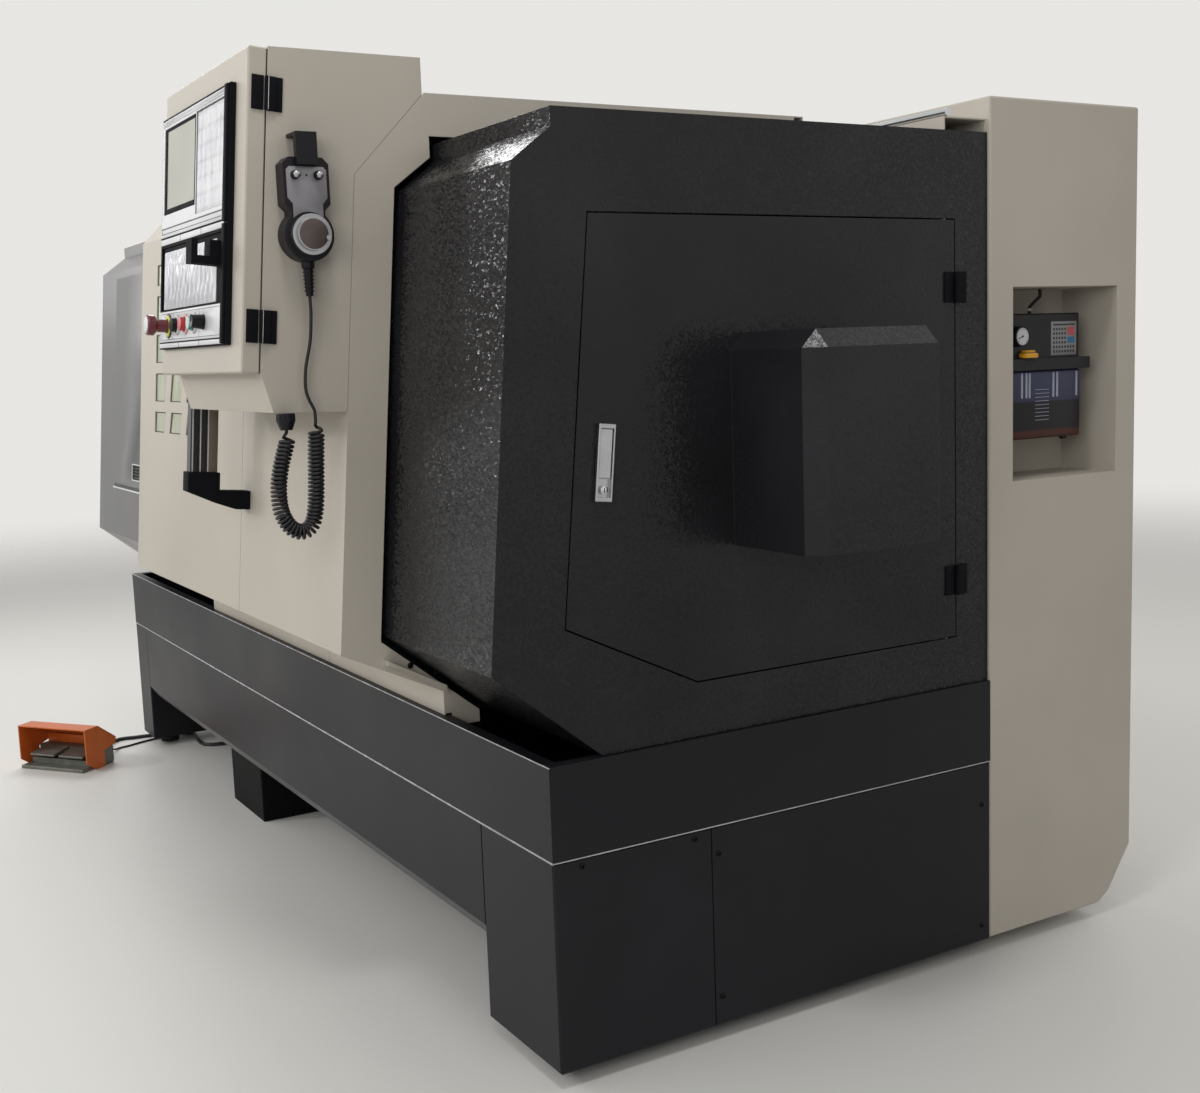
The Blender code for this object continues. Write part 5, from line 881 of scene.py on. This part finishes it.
# Its enamel is pale and satin, so the plates stay the brightest thing on the machine.
white_enamel = coated("silver_white_enamelled_aluminium", pair("BEBEC0", "CCCCCE"), 90, 0.8,
                      0.02, (0.34, 0.44), edge_mm=0.4, ior=1.4)
screen_hole = rectangle(-0.548, -0.3005, 0.348, 0.534)
key_hole = rectangle(-0.2965, -0.0985, 0.328, 0.534)
button_holes = [ring_loop(estop_x, 0.0272), ring_loop(knob_x, 0.0160)]
button_holes += [ring_loop(x, 0.0215) for x in button_places.values()]
panel_plates = bmesh.new()
for (low, high), holes in (((0.2995, 0.5525), [screen_hole, key_hole]), (upper_strip, []),
                           (button_strip, button_holes), (lower_strip, [])):
    plate(panel_plates, rectangle(plate_left, plate_right, low, high), plate_back, plate_face,
          panel_wall, holes, bevel=0.0004)
piece("panel_plates", panel_plates, white_enamel, "panel_door")

# Screen-printed film: a mid grey a little glossier than the enamel round it.
grey_print = coated("grey_screen_printed_film", pair("7A7A7C", "88888A"), 60, 0.6, 0.01,
                    (0.3, 0.4), edge_mm=0.2)
top_band = block(bmesh.new(), (-0.560, 0.5390, plate_face - 0.0004),
                 (-0.096, 0.5500, plate_face + 0.0005), panel_wall, 0.0002)
piece("panel_top_band", top_band, grey_print, "panel_door")
top_lines = blocks([((-0.556, height, plate_face), (-0.100, height + 0.0010, plate_face + 0.0007))
                    for height in (0.5420, 0.5468)], panel_wall)
piece("panel_top_lines", top_lines, white_enamel, "panel_door")

# Black marks and lines: printed on the plates; they divide the strips in thirds and frame the
# screen, the keys and the button row. The ink is matt, so it stays black at any angle.
black_ink = coated("matt_black_printing_ink", pair("17171A", "202024"), 30, 0.6, 0.01,
                   (0.5, 0.65), edge_mm=0.1)
ink_back = plate_face - 0.0005
thin_ink = plate_face + 0.0002
thick_ink = plate_face + 0.0003
third_half = 0.0012
printed = bmesh.new()
for share in (1 / 3, 2 / 3):
    x = plate_left + (plate_right - plate_left) * share
    for low, high in (upper_strip, lower_strip):
        block(printed, (x - third_half, low, ink_back), (x + third_half, high, thin_ink),
              panel_wall)
for front, left, low, right, high in (
        (thin_ink, -0.5580, 0.1310, -0.1000, 0.1320), (thin_ink, -0.5580, 0.0745, -0.1000, 0.0755),
        (thin_ink, -0.5580, 0.0745, -0.5570, 0.1320), (thin_ink, -0.4535, 0.0745, -0.4525, 0.1320),
        (thin_ink, -0.2505, 0.0745, -0.2495, 0.1320), (thick_ink, -0.5600, 0.3165, -0.0920, 0.3195),
        (thick_ink, -0.5600, 0.3060, -0.1100, 0.3075), (thick_ink, -0.5600, 0.3060, -0.5575, 0.3195),
        (thick_ink, -0.2985, 0.5340, -0.0985, 0.5360)):
    block(printed, (left, low, ink_back), (right, high, front), panel_wall)
piece("panel_printed_lines", printed, black_ink, "panel_door")

# Edge guard: a thick soft strip of black moulded plastic along the right edge of the frame.
edge_guard = blocks([((-0.0885, low, plate_back), (-0.0705, high, panel_face + 0.0062))
                     for low, high in ((0.0575, 0.2900), (0.2935, 0.5555))],
                    panel_wall, 0.0022, 3)
piece("panel_edge_guard", edge_guard, matt_abs, "panel_door")


# Screen: a dark display behind a protective glass. Its greenish beige colour is a painted
# reflection of the pale room in the glass.
glass, tree = blank("display_glass_painted_reflection")
surfaced(tree, {"Base Color": ramp(tree, noise(tree, 260, 2.0, 1.3), [
    (0.35, "7E7C6E"), (0.5, "8C8B7C"), (0.65, "989B8D")]), "Roughness": 0.34, "IOR": 1.3})
dress(glass, "screen")


# Keys: six by six moulded keys of pale grey silicone rubber, in the pocket right of the screen.
# Silicone is dull, so they show only by their shadows.
key_rubber = coated("pale_grey_silicone_rubber", pair("C6C6C8", "D2D2D4"), 40, 0.8, 0.03,
                    (0.5, 0.62), edge_mm=0.5)
key_count = 6
key_pitch = 0.0325
key_width = 0.0265
key_places = [panel_wall @ Vector((-0.1975 + key_pitch * (column - (key_count - 1) / 2),
                                   0.4315 + key_pitch * (row - (key_count - 1) / 2), 0.0098))
              for column in range(key_count) for row in range(key_count)]
repeated("panel_keys", key_places, unit_block(0.08, 2), (key_width, key_width, 0.0030),
         key_rubber, "panel_door", (math.radians(90) - lean, 0.0, 0.0))


# Protective films: thin milky polyethylene, still on the key field and the lower membrane,
# lifted in upright folds.
def film(name, left, right, low, high, height, fold, count, seed):
    """A thin sheet with upright folds of uneven width."""
    columns = 160
    rows = 24
    sheet = bmesh.new()
    grid = []
    for row in range(rows + 1):
        line = []
        for column in range(columns + 1):
            u = column / columns
            v = row / rows
            wave = (math.sin(2 * math.pi * (count * u + 0.35 * math.sin(5.1 * v + seed)))
                    + 0.6 * math.sin(2 * math.pi * (count * 1.83 * u + 0.2 * math.sin(3.7 * v))
                                     + seed)
                    + 0.35 * math.sin(2 * math.pi * count * 3.1 * u + 4 * v + 2 * seed))
            hem = min(1.0, 14 * min(u, 1 - u), 8 * min(v, 1 - v))
            spot = Vector((left + (right - left) * u, low + (high - low) * v,
                           height + fold * hem * (0.5 + 0.25 * wave)))
            line.append(sheet.verts.new(panel_wall @ spot))
        grid.append(line)
    for lower, upper in zip(grid, grid[1:]):
        for i in range(columns):
            sheet.faces.new((lower[i], lower[i + 1], upper[i + 1], upper[i]))
    return piece(name, sheet, milky_film, "panel_door", angle=180.0)


# Its cloudiness veils the keys, and the folds catch the light as pale upright streaks.
milky_film, tree = blank("milky_polyethylene_film")
cloud = noise(tree, 40, 3.0, 5.0)
surfaced(tree, {"Base Color": ramp(tree, cloud, pair("C2C2C9", "D8D8DD")),
                "Roughness": spread(tree, cloud, 0.14, 0.26), "IOR": 1.51,
                "Alpha": spread(tree, cloud, 0.56, 0.74)})
film("key_film", -0.2955, -0.0995, 0.3290, 0.5335, 0.0116, 0.0012, 4, 0.4)
membrane = block(bmesh.new(), (-0.5480, 0.1420, 0.0078), (-0.1480, 0.2670, 0.0094), panel_wall,
                 0.0003)
piece("lower_membrane", membrane, key_rubber, "panel_door")
film("lower_film", -0.5470, -0.1490, 0.1430, 0.2660, 0.0098, 0.0055, 13, 2.1)


# Buttons: the emergency button is a maroon mushroom on a yellow and a black ring; a pale disc on
# its face is a painted reflection. Three push buttons have bright rims, the knob a black one.
def moulded(name, dark, light, rough, edge_mm=0.5, coat=0.0):
    """Injection-moulded plastic: an even colour, with a clear highlight where it has a coat."""
    return coated(name, pair(dark, light), 20, 0.8, 0.02, rough, edge_mm=edge_mm, coat=coat)


# Moulded ABS is black with a soft highlight along its rounded edges.
black_abs = coated("moulded_black_abs", pair("0F0F14", "17171C"), 50, 1.4, 0.06, (0.34, 0.46),
                   edge_mm=1.0, ior=1.33)
maroon_plastic = moulded("maroon_moulded_plastic", "5C1F2C", "6E2836", (0.2, 0.32), 0.8, 0.3)
red_plastic = moulded("red_moulded_plastic", "9E1F24", "B5282C", (0.2, 0.32), coat=0.3)
teal_plastic = moulded("teal_moulded_plastic", "0E6A5E", "15806F", (0.2, 0.32), coat=0.3)
yellow_plastic = moulded("yellow_moulded_plastic", "B9BE2E", "C9CC3A", (0.3, 0.42), 0.3)
pink_plastic = moulded("pale_red_moulded_plastic", "D79AA0", "E0A8AC", (0.3, 0.42), 0.3)
dress(maroon_plastic, "estop_button")
dress(red_plastic, "stop_button")
dress(teal_plastic, "start_button")
dress(black_abs, "black_button", "mode_knob")


def rim(name, x, inner, outer, rise, finish):
    """A flat ring with rounded upper edges, standing on the panel round a button."""
    low = panel_face - 0.001
    high = panel_face + rise
    soft = (high - low) * 0.25
    ring = turned(bmesh.new(), [
        (inner, low), (outer, low), (outer, high - soft), (outer - soft, high),
        (inner + soft, high), (inner, high - soft), (inner, low)],
        moved(panel_wall, x, button_row, 0), steps=40)
    piece(name, ring, finish, "panel_door")


rim("estop_black_ring", estop_x, 0.0230, 0.0268, 0.0030, black_abs)
rim("estop_yellow_ring", estop_x, 0.0150, 0.0232, 0.0056, yellow_plastic)
for colour, finish in (("black", white_enamel), ("red", pink_plastic), ("green", white_enamel)):
    rim(colour + "_button_rim", button_places[colour], 0.0152, 0.0205, 0.0058, finish)
rim("knob_ring", knob_x, 0.0098, 0.0155, 0.0049, black_abs)
# Pale disc on the mushroom's face: a painted reflection.
estop_disc = turned(bmesh.new(), [
    (0, 0.0628), (0, 0.0640), (0.0150, 0.0640), (0.0172, 0.0634), (0.0172, 0.0628), (0, 0.0628)],
    moved(panel_wall, estop_x, button_row, 0))
piece("estop_disc", estop_disc, white_enamel, "emergency_stop")
knob_mark = block(bmesh.new(), (knob_x - 0.0008, button_row + 0.002, 0.0385),
                  (knob_x + 0.0008, button_row + 0.0115, 0.0412), panel_wall, 0.0002)
piece("knob_mark", knob_mark, white_enamel, "selector_knob")


# Control box: housing and door are folded steel sheets. Two black die-cast hinges with a bright
# pin are screwed to their sides.
dress(warm_coat, "control_housing", "control_door")
pin_y = 0.0374
door_leaves = bmesh.new()
housing_leaves = bmesh.new()
hinge_pins = bmesh.new()
for low, high in ((0.060, 0.122), (0.500, 0.562)):
    block(door_leaves, (-0.0030, 0.0075, low - 0.0010), (0.0040, 0.0306, high + 0.0010),
          panel_place, 0.0008)
    block(housing_leaves, (-0.0030, 0.0386, low - 0.0010), (0.0042, 0.0675, high + 0.0010),
          panel_place, 0.0008)
    block(housing_leaves, (0.0012, pin_y, low - 0.0004), (0.0090, 0.0535, high + 0.0004),
          panel_place, 0.0004)
    turned(housing_leaves, [(0, low - 0.0004), (0.0056, low - 0.0004), (0.0056, high + 0.0004),
                            (0, high + 0.0004)],
           moved(panel_place, 0.0055, pin_y, 0), steps=24)
    block(hinge_pins, (0.0105, 0.0372, low - 0.0002), (0.0115, 0.0384, high + 0.0002),
          panel_place, 0.0002)
piece("control_door_hinge_leaves", door_leaves, matt_abs, "panel_door")
piece("control_housing_hinge_leaves", housing_leaves, matt_abs, "hood_right")
piece("control_hinge_pins", hinge_pins, rail_steel, "hood_right")


# Control box seal: a soft black strip of neoprene, glued round the edge of the housing. The
# door closes on it.
box_seal = plate(bmesh.new(), rectangle(-0.5905, -0.0015, 0.0015, 0.6140), -0.0390, -0.0345,
                 panel_wall, [rectangle(-0.5840, -0.0080, 0.0080, 0.6070)])
piece("control_box_seal", box_seal, belt_rubber, "hood_right")


# Pendant: a grey face plate on the black moulded case, bright domes on its two knobs, a small
# lamp between them and a bright hand wheel with a dark face.
def about_z(angle):
    """A turn about Z."""
    return Matrix.Rotation(angle, 4, "Z")


dress(black_abs, "pendant", "cord_gland", "pendant_knob_left", "pendant_knob_right")
dress(silver_anodising, "pendant_dial")
pendant_y = -0.233
pendant_face = -0.4457
knob_offset = 0.023
knob_z = 1.704
dial_z = 1.592
grey_face = anodised("grey_anodised_face_plate", "7E7C80", "8E8C90", (0.3, 0.42), 0.3, 0.3)
arc_radius = 0.0435
arc_start = math.acos(0.030 / arc_radius)
arc_steps = 16
face_side = [(-0.034, 1.720), (-0.040, 1.714), (-0.040, 1.662), (-0.030, 1.650)]
face_outline = list(face_side)
for i in range(arc_steps + 1):
    angle = math.pi - arc_start - (math.pi - 2 * arc_start) * i / arc_steps
    face_outline.append((arc_radius * math.cos(angle), dial_z + arc_radius * math.sin(angle)))
face_outline += [(-y, z) for y, z in reversed(face_side)]
face_plate = plate(bmesh.new(), [(pendant_y + y, z) for y, z in face_outline],
                   pendant_face - 0.0005, pendant_face + 0.0009, end_wall, bevel=0.0003)
piece("pendant_face_plate", face_plate, grey_face, "hood_right")
marks = bmesh.new()
for label, side in (("left", -1), ("right", 1)):
    knob_y = pendant_y + side * knob_offset
    dome = turned(bmesh.new(), [(0, -0.0316), (0.0068, -0.0316), (0.0062, -0.0302),
                                (0.0042, -0.0288), (0, -0.0282)],
                  moved(end_wall, knob_y, knob_z, -0.4), steps=32)
    piece("pendant_knob_dome_" + label, dome, silver_anodising, "pendant_selector_" + label)
    for angle in (-50, -25, 0, 25, 50):
        block(marks, (-0.0004, 0.0108, pendant_face), (0.0004, 0.0128, pendant_face + 0.0011),
              moved(end_wall, knob_y, knob_z, 0)
              @ about_z(math.radians(angle)))
piece("pendant_marks", marks, white_enamel, "hood_right")
lamp_dot = turned(bmesh.new(), [(0, 0), (0.0022, 0), (0.0018, 0.0018), (0, 0.0026)],
                  moved(end_wall, pendant_y, knob_z, pendant_face), steps=16)
piece("pendant_lamp", lamp_dot, black_abs, "hood_right")
relief_bore = 0.0062
relief_rings = bmesh.new()
for i in range(6):
    ring_radius = 0.0112 - 0.0003 * i
    turned(relief_rings, [(relief_bore, -0.0016), (ring_radius, -0.0010), (ring_radius, 0.0010),
                          (relief_bore, 0.0016), (relief_bore, -0.0016)],
           at(cord_x, pendant_y, 1.5230 - 0.0072 * i), steps=24)
piece("pendant_relief_rings", relief_rings, black_abs, "hood_right")
brown_face = anodised("brown_grey_dial_face", "4E4341", "5E524F", (0.3, 0.42), 0.2, 0.2, 30)
dial_face = turned(bmesh.new(), [(0, -0.001), (0.0288, -0.001), (0.0288, 0.0005),
                                 (0.0284, 0.0007), (0, 0.0007)],
                   moved(end_wall, pendant_y, dial_z, -0.4214), steps=64)
piece("pendant_dial_face", dial_face, brown_face, "pendant_wheel")
gland_rib_count = 12
gland_ribs = bmesh.new()
for i in range(gland_rib_count):
    block(gland_ribs, (0.0160, -0.0016, -0.0155), (0.0187, 0.0016, -0.0010),
          at(cord_x, -0.297, 1.2528) @ about_z(2 * math.pi * i / gland_rib_count),
          0.0005, 1)
piece("gland_ribs", gland_ribs, black_abs, "hood_right")


# Door handle: a grooved profile of dark anodised aluminium with a brown-grey back, held by a
# stepped black bracket at each end. Thin chrome strips on its ridges paint the highlights they
# catch.
handle_place = at(-1.128, -0.1756, 1.094) @ lean_back
dark_anodising = anodised("dark_anodised_aluminium", "2A2A2E", "38383D", (0.28, 0.38), 0.6)
brown_anodising = anodised("brown_grey_anodised_aluminium", "5A534C", "6A625A", (0.3, 0.4), 0.5)
handle_half = 0.017
handle_front = -0.142
handle_back = handle_front + 0.063
corner_cut = 0.003
groove = 0.009
groove_depth = 0.0034
groove_count = 3
half_loop = [(handle_half - corner_cut, handle_front), (handle_half, handle_front + corner_cut)]
for number in range(groove_count):
    near = handle_front + groove * (2 * number + 1)
    half_loop += [(handle_half, near), (handle_half - groove_depth, near),
                  (handle_half - groove_depth, near + groove), (handle_half, near + groove)]
half_loop.append((handle_half, handle_back))
other_half = [(-x, y) for x, y in reversed(half_loop)]
front_left = other_half[-2:]
grip = plate(bmesh.new(), front_left + half_loop + other_half[:-2], -0.003, 0.463, handle_place)
grip_object = piece("door_handle_profile", grip, dark_anodising, "hood_right")
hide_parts("handle_bar")
# Chrome strips on the ridge crests: painted highlights.
ridge_x = 0.0172
ridge_middles = [handle_front + groove * 2 * number + groove / 2 for number in range(groove_count)]
ridges = blocks([((side * ridge_x - 0.0006, middle - 0.0016, 0.001),
                  (side * ridge_x + 0.0006, middle + 0.0016, 0.459))
                 for side in (-1, 1) for middle in ridge_middles], handle_place, 0.0003, 1)
piece("door_handle_ridges", ridges, rail_steel, "hood_right")
back_bar = block(bmesh.new(), (-0.0178, -0.1000, 0.0005), (0.0178, -0.0785, 0.4595),
                 handle_place, 0.0012)
piece("door_handle_back", back_bar, brown_anodising, "hood_right")
handle_brackets = bmesh.new()
for foot, rise in ((0.0, 1), (0.460, -1)):
    loop = [(y, foot - rise * z) for y, z in (
        (-0.148, 0.0), (-0.148, 0.045), (-0.073, 0.0737), (-0.032, 0.086), (0.0, 0.086),
        (0.0, 0.042), (-0.073, 0.042), (-0.073, 0.0))]
    plate(handle_brackets, loop, -0.023, 0.023, handle_place @ to_end, bevel=0.0016)
piece("door_handle_brackets", handle_brackets, matt_abs, "hood_right")


# Rear cabinet: a welded box of steel sheet behind the machine, coated like the hoods. It has one
# tall door at its back, and a niche in its end for the lubricator.
dress(warm_coat, "rear_cabinet", "cabinet_door")


# Lubricator tank: blow-moulded translucent plastic, bluish where it is empty and dark where
# the oil stands, with upright ribs drawn pale as painted highlights, level lines and a red-brown
# sump of settled oil.
tank_front = -0.0480
tank_low = 1.1200
tank_plastic, tree = blank("translucent_oil_tank_plastic")
where = add(tree, "ShaderNodeTexCoord").outputs["Object"]
height = add(tree, "ShaderNodeSeparateXYZ", {"Vector": where}).outputs["Z"]
share = add(tree, "ShaderNodeMapRange", {"Value": height, "From Min": 1.150, "From Max": 1.304})
bands = ramp(tree, share.outputs["Result"], [
    (0.00, "3A1D18"), (0.10, "4A2620"), (0.14, "1A1819"), (0.53, "141419"), (0.56, "30324A"),
    (0.90, "3C3F58")])
surfaced(tree, {"Base Color": bands, "Roughness": 0.28, "IOR": 1.3})
tank = block(bmesh.new(), (-0.1475, 1.2125, tank_low), (tank_front, 1.4525, 1.2735),
             corner_frame, 0.007, 4)
tank_object = piece("lubricator_clear_tank", tank, tank_plastic, "machine")
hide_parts("lubricator_tank")
# The pale ribs paint the upright highlights on the tank; the level lines are marks in the same pale
# plastic.
rib_highlight_and_mark_plastic = coated("pale_bluish_plastic_highlights_and_marks", pair("8A8CA0", "9A9CAE"), 30, 0.8, 0.02,
                      (0.25, 0.35), edge_mm=0.4)
rib_places = [place(tank_front, y, 1.240) for y in (1.262, 1.276, 1.286, 1.362, 1.374, 1.437)]
repeated("lubricator_tank_ribs", rib_places, unit_block(0.1), (0.0020, 0.0060, 0.0560),
         rib_highlight_and_mark_plastic, "machine")
level_places = [place(tank_front, 1.326, 1.162 + 0.0085 * i) for i in range(9)]
repeated("lubricator_level_lines", level_places, unit_block(), (0.0014, 0.0440, 0.0012),
         rib_highlight_and_mark_plastic, "machine")
drains = bmesh.new()
for y in (1.246, 1.418):
    turned(drains, [(0, -0.007), (0.007, -0.007), (0.009, -0.004), (0.009, 0.001), (0, 0.001)],
           at(-0.070, y, tank_low), steps=6)
piece("lubricator_drain_plugs", drains, black_abs, "machine")


# Lubricator head: a black moulded pump housing with a pressure gauge, a yellow filler cap and a
# small plate. A rubber tube with a tie leads up from it.
dress(black_abs, "lubricator_head")
dress(belt_rubber, "oil_tube")
gauge_turn = moved(end_wall, 1.249, 1.350, 0)
gauge_face = turned(bmesh.new(), [(0, -0.0350), (0.0195, -0.0350), (0.0195, -0.0334),
                                  (0, -0.0334)], gauge_turn)
piece("gauge_face", gauge_face, white_enamel, "machine")
gauge_bezel = turned(bmesh.new(), [
    (0.0190, -0.0350), (0.0232, -0.0350), (0.0232, -0.0325), (0.0222, -0.0315),
    (0.0200, -0.0315), (0.0190, -0.0325), (0.0190, -0.0350)], gauge_turn)
piece("gauge_bezel", gauge_bezel, black_abs, "machine")
gauge_steps = 20
needle_angle = math.radians(112)
gauge_marks = bmesh.new()
for i in range(gauge_steps + 1):
    angle = math.radians(135 - 270 * i / gauge_steps)
    inner = 0.0140 if i % 5 == 0 else 0.0155
    block(gauge_marks, (-0.0003, inner, -0.0336), (0.0003, 0.0172, -0.0331),
          gauge_turn @ about_z(angle))
block(gauge_marks, (-0.0006, -0.0040, -0.0334), (0.0006, 0.0140, -0.0326),
      gauge_turn @ about_z(needle_angle))
turned(gauge_marks, [(0, -0.0334), (0.0022, -0.0334), (0.0022, -0.0324), (0, -0.0324)],
       gauge_turn, steps=16)
piece("gauge_needle_and_marks", gauge_marks, black_ink, "machine")
yellow_cap = moulded("yellow_moulded_cap", "CF9422", "DDA530", (0.28, 0.4))
cap_place = at(-0.051, 1.282, 1.300)
cap_ribs = 24
filler = turned(bmesh.new(), [
    (0, 0.001), (0.0205, 0.001), (0.0232, 0.003), (0.0232, 0.011), (0.0222, 0.0125),
    (0.0180, 0.0130), (0.0180, 0.0175), (0.0165, 0.0190), (0, 0.0190)], cap_place)
for i in range(cap_ribs):
    block(filler, (0.0226, -0.0008, 0.003), (0.0238, 0.0008, 0.0105),
          cap_place @ about_z(2 * math.pi * i / cap_ribs))
piece("lubricator_filler_cap", filler, yellow_cap, "machine")
label_front = -0.0530
label_plate = block(bmesh.new(), (1.360, 1.305, -0.0545), (1.442, 1.381, label_front), end_wall,
                    0.0005)
piece("lubricator_plate", label_plate, grey_print, "machine")
mark_back = label_front - 0.0002
mark_front = label_front + 0.0003
mark_boxes = []
for column in range(8):
    for row in range(6):
        if column < 5 or row < 2:
            left = 1.3665 + 0.0090 * column
            low = 1.3110 + 0.0100 * row
            mark_boxes.append(((left, low, mark_back), (left + 0.0050, low + 0.0055, mark_front)))
mark_boxes.append(((1.3665, 1.3720, mark_back), (1.4360, 1.3755, mark_front)))
piece("lubricator_plate_marks", blocks(mark_boxes, end_wall), black_ink, "machine")
# Blue printing ink: a flat colour a little glossier than the black.
blue_print = coated("blue_printing_ink", pair("1E5C86", "266C98"), 20, 0.6, 0.01, (0.4, 0.5),
                    edge_mm=0.1)
for colour, low, high, finish, slot in (("red", 1.3500, 1.3680, red_plastic, "red_plastic"),
                                        ("blue", 1.3320, 1.3460, blue_print, "black_plastic")):
    mark = block(bmesh.new(), (1.4130, low, mark_back), (1.4350, high, label_front + 0.0004),
                 end_wall)
    piece("lubricator_" + colour + "_mark", mark, finish, "machine")
tube_tie = turned(bmesh.new(), [
    (0.0038, -0.003), (0.0052, -0.003), (0.0052, 0.003), (0.0038, 0.003), (0.0038, -0.003)],
    at(-0.1147, 1.3566, 1.4100), steps=24)
piece("tube_tie", tube_tie, white_enamel, "machine")


# Foot switch: a cast shell in orange enamel guards two bare cast pedals. Its edges are rounded,
# and where feet have scuffed it, it is paler and duller.
orange_enamel = coated("orange_enamelled_casting", [(0.3, "BC5A24"), (0.55, "CA662A"),
                                                    (0.75, "D27438")], 60, 1.6, 0.06,
                       (0.32, 0.46), edge_mm=3.0, ior=1.4)
dress(orange_enamel, "foot_switch_guard")
# Sand-cast aluminium keeps the grain of its mould, so it looks pale, rough and a little dirty.
cast_pedal = coated("sand_cast_aluminium", [(0.3, "62635B"), (0.55, "70716A"), (0.8, "85867D")],
                    18, 1.6, 0.18, (0.38, 0.6), metallic=0.4, edge_mm=1.2)
dress(cast_pedal, "pedal_left", "pedal_right", "foot_switch_base")
foot_frame = Matrix.Translation(foot_corner) @ foot_turn.to_4x4()
guard_lip = block(bmesh.new(), (0.0045, 0.1370, 0.0590), (0.2875, 0.1400, 0.0900), foot_frame,
                  0.0005)
piece("foot_guard_inner_lip", guard_lip, orange_enamel, "machine")
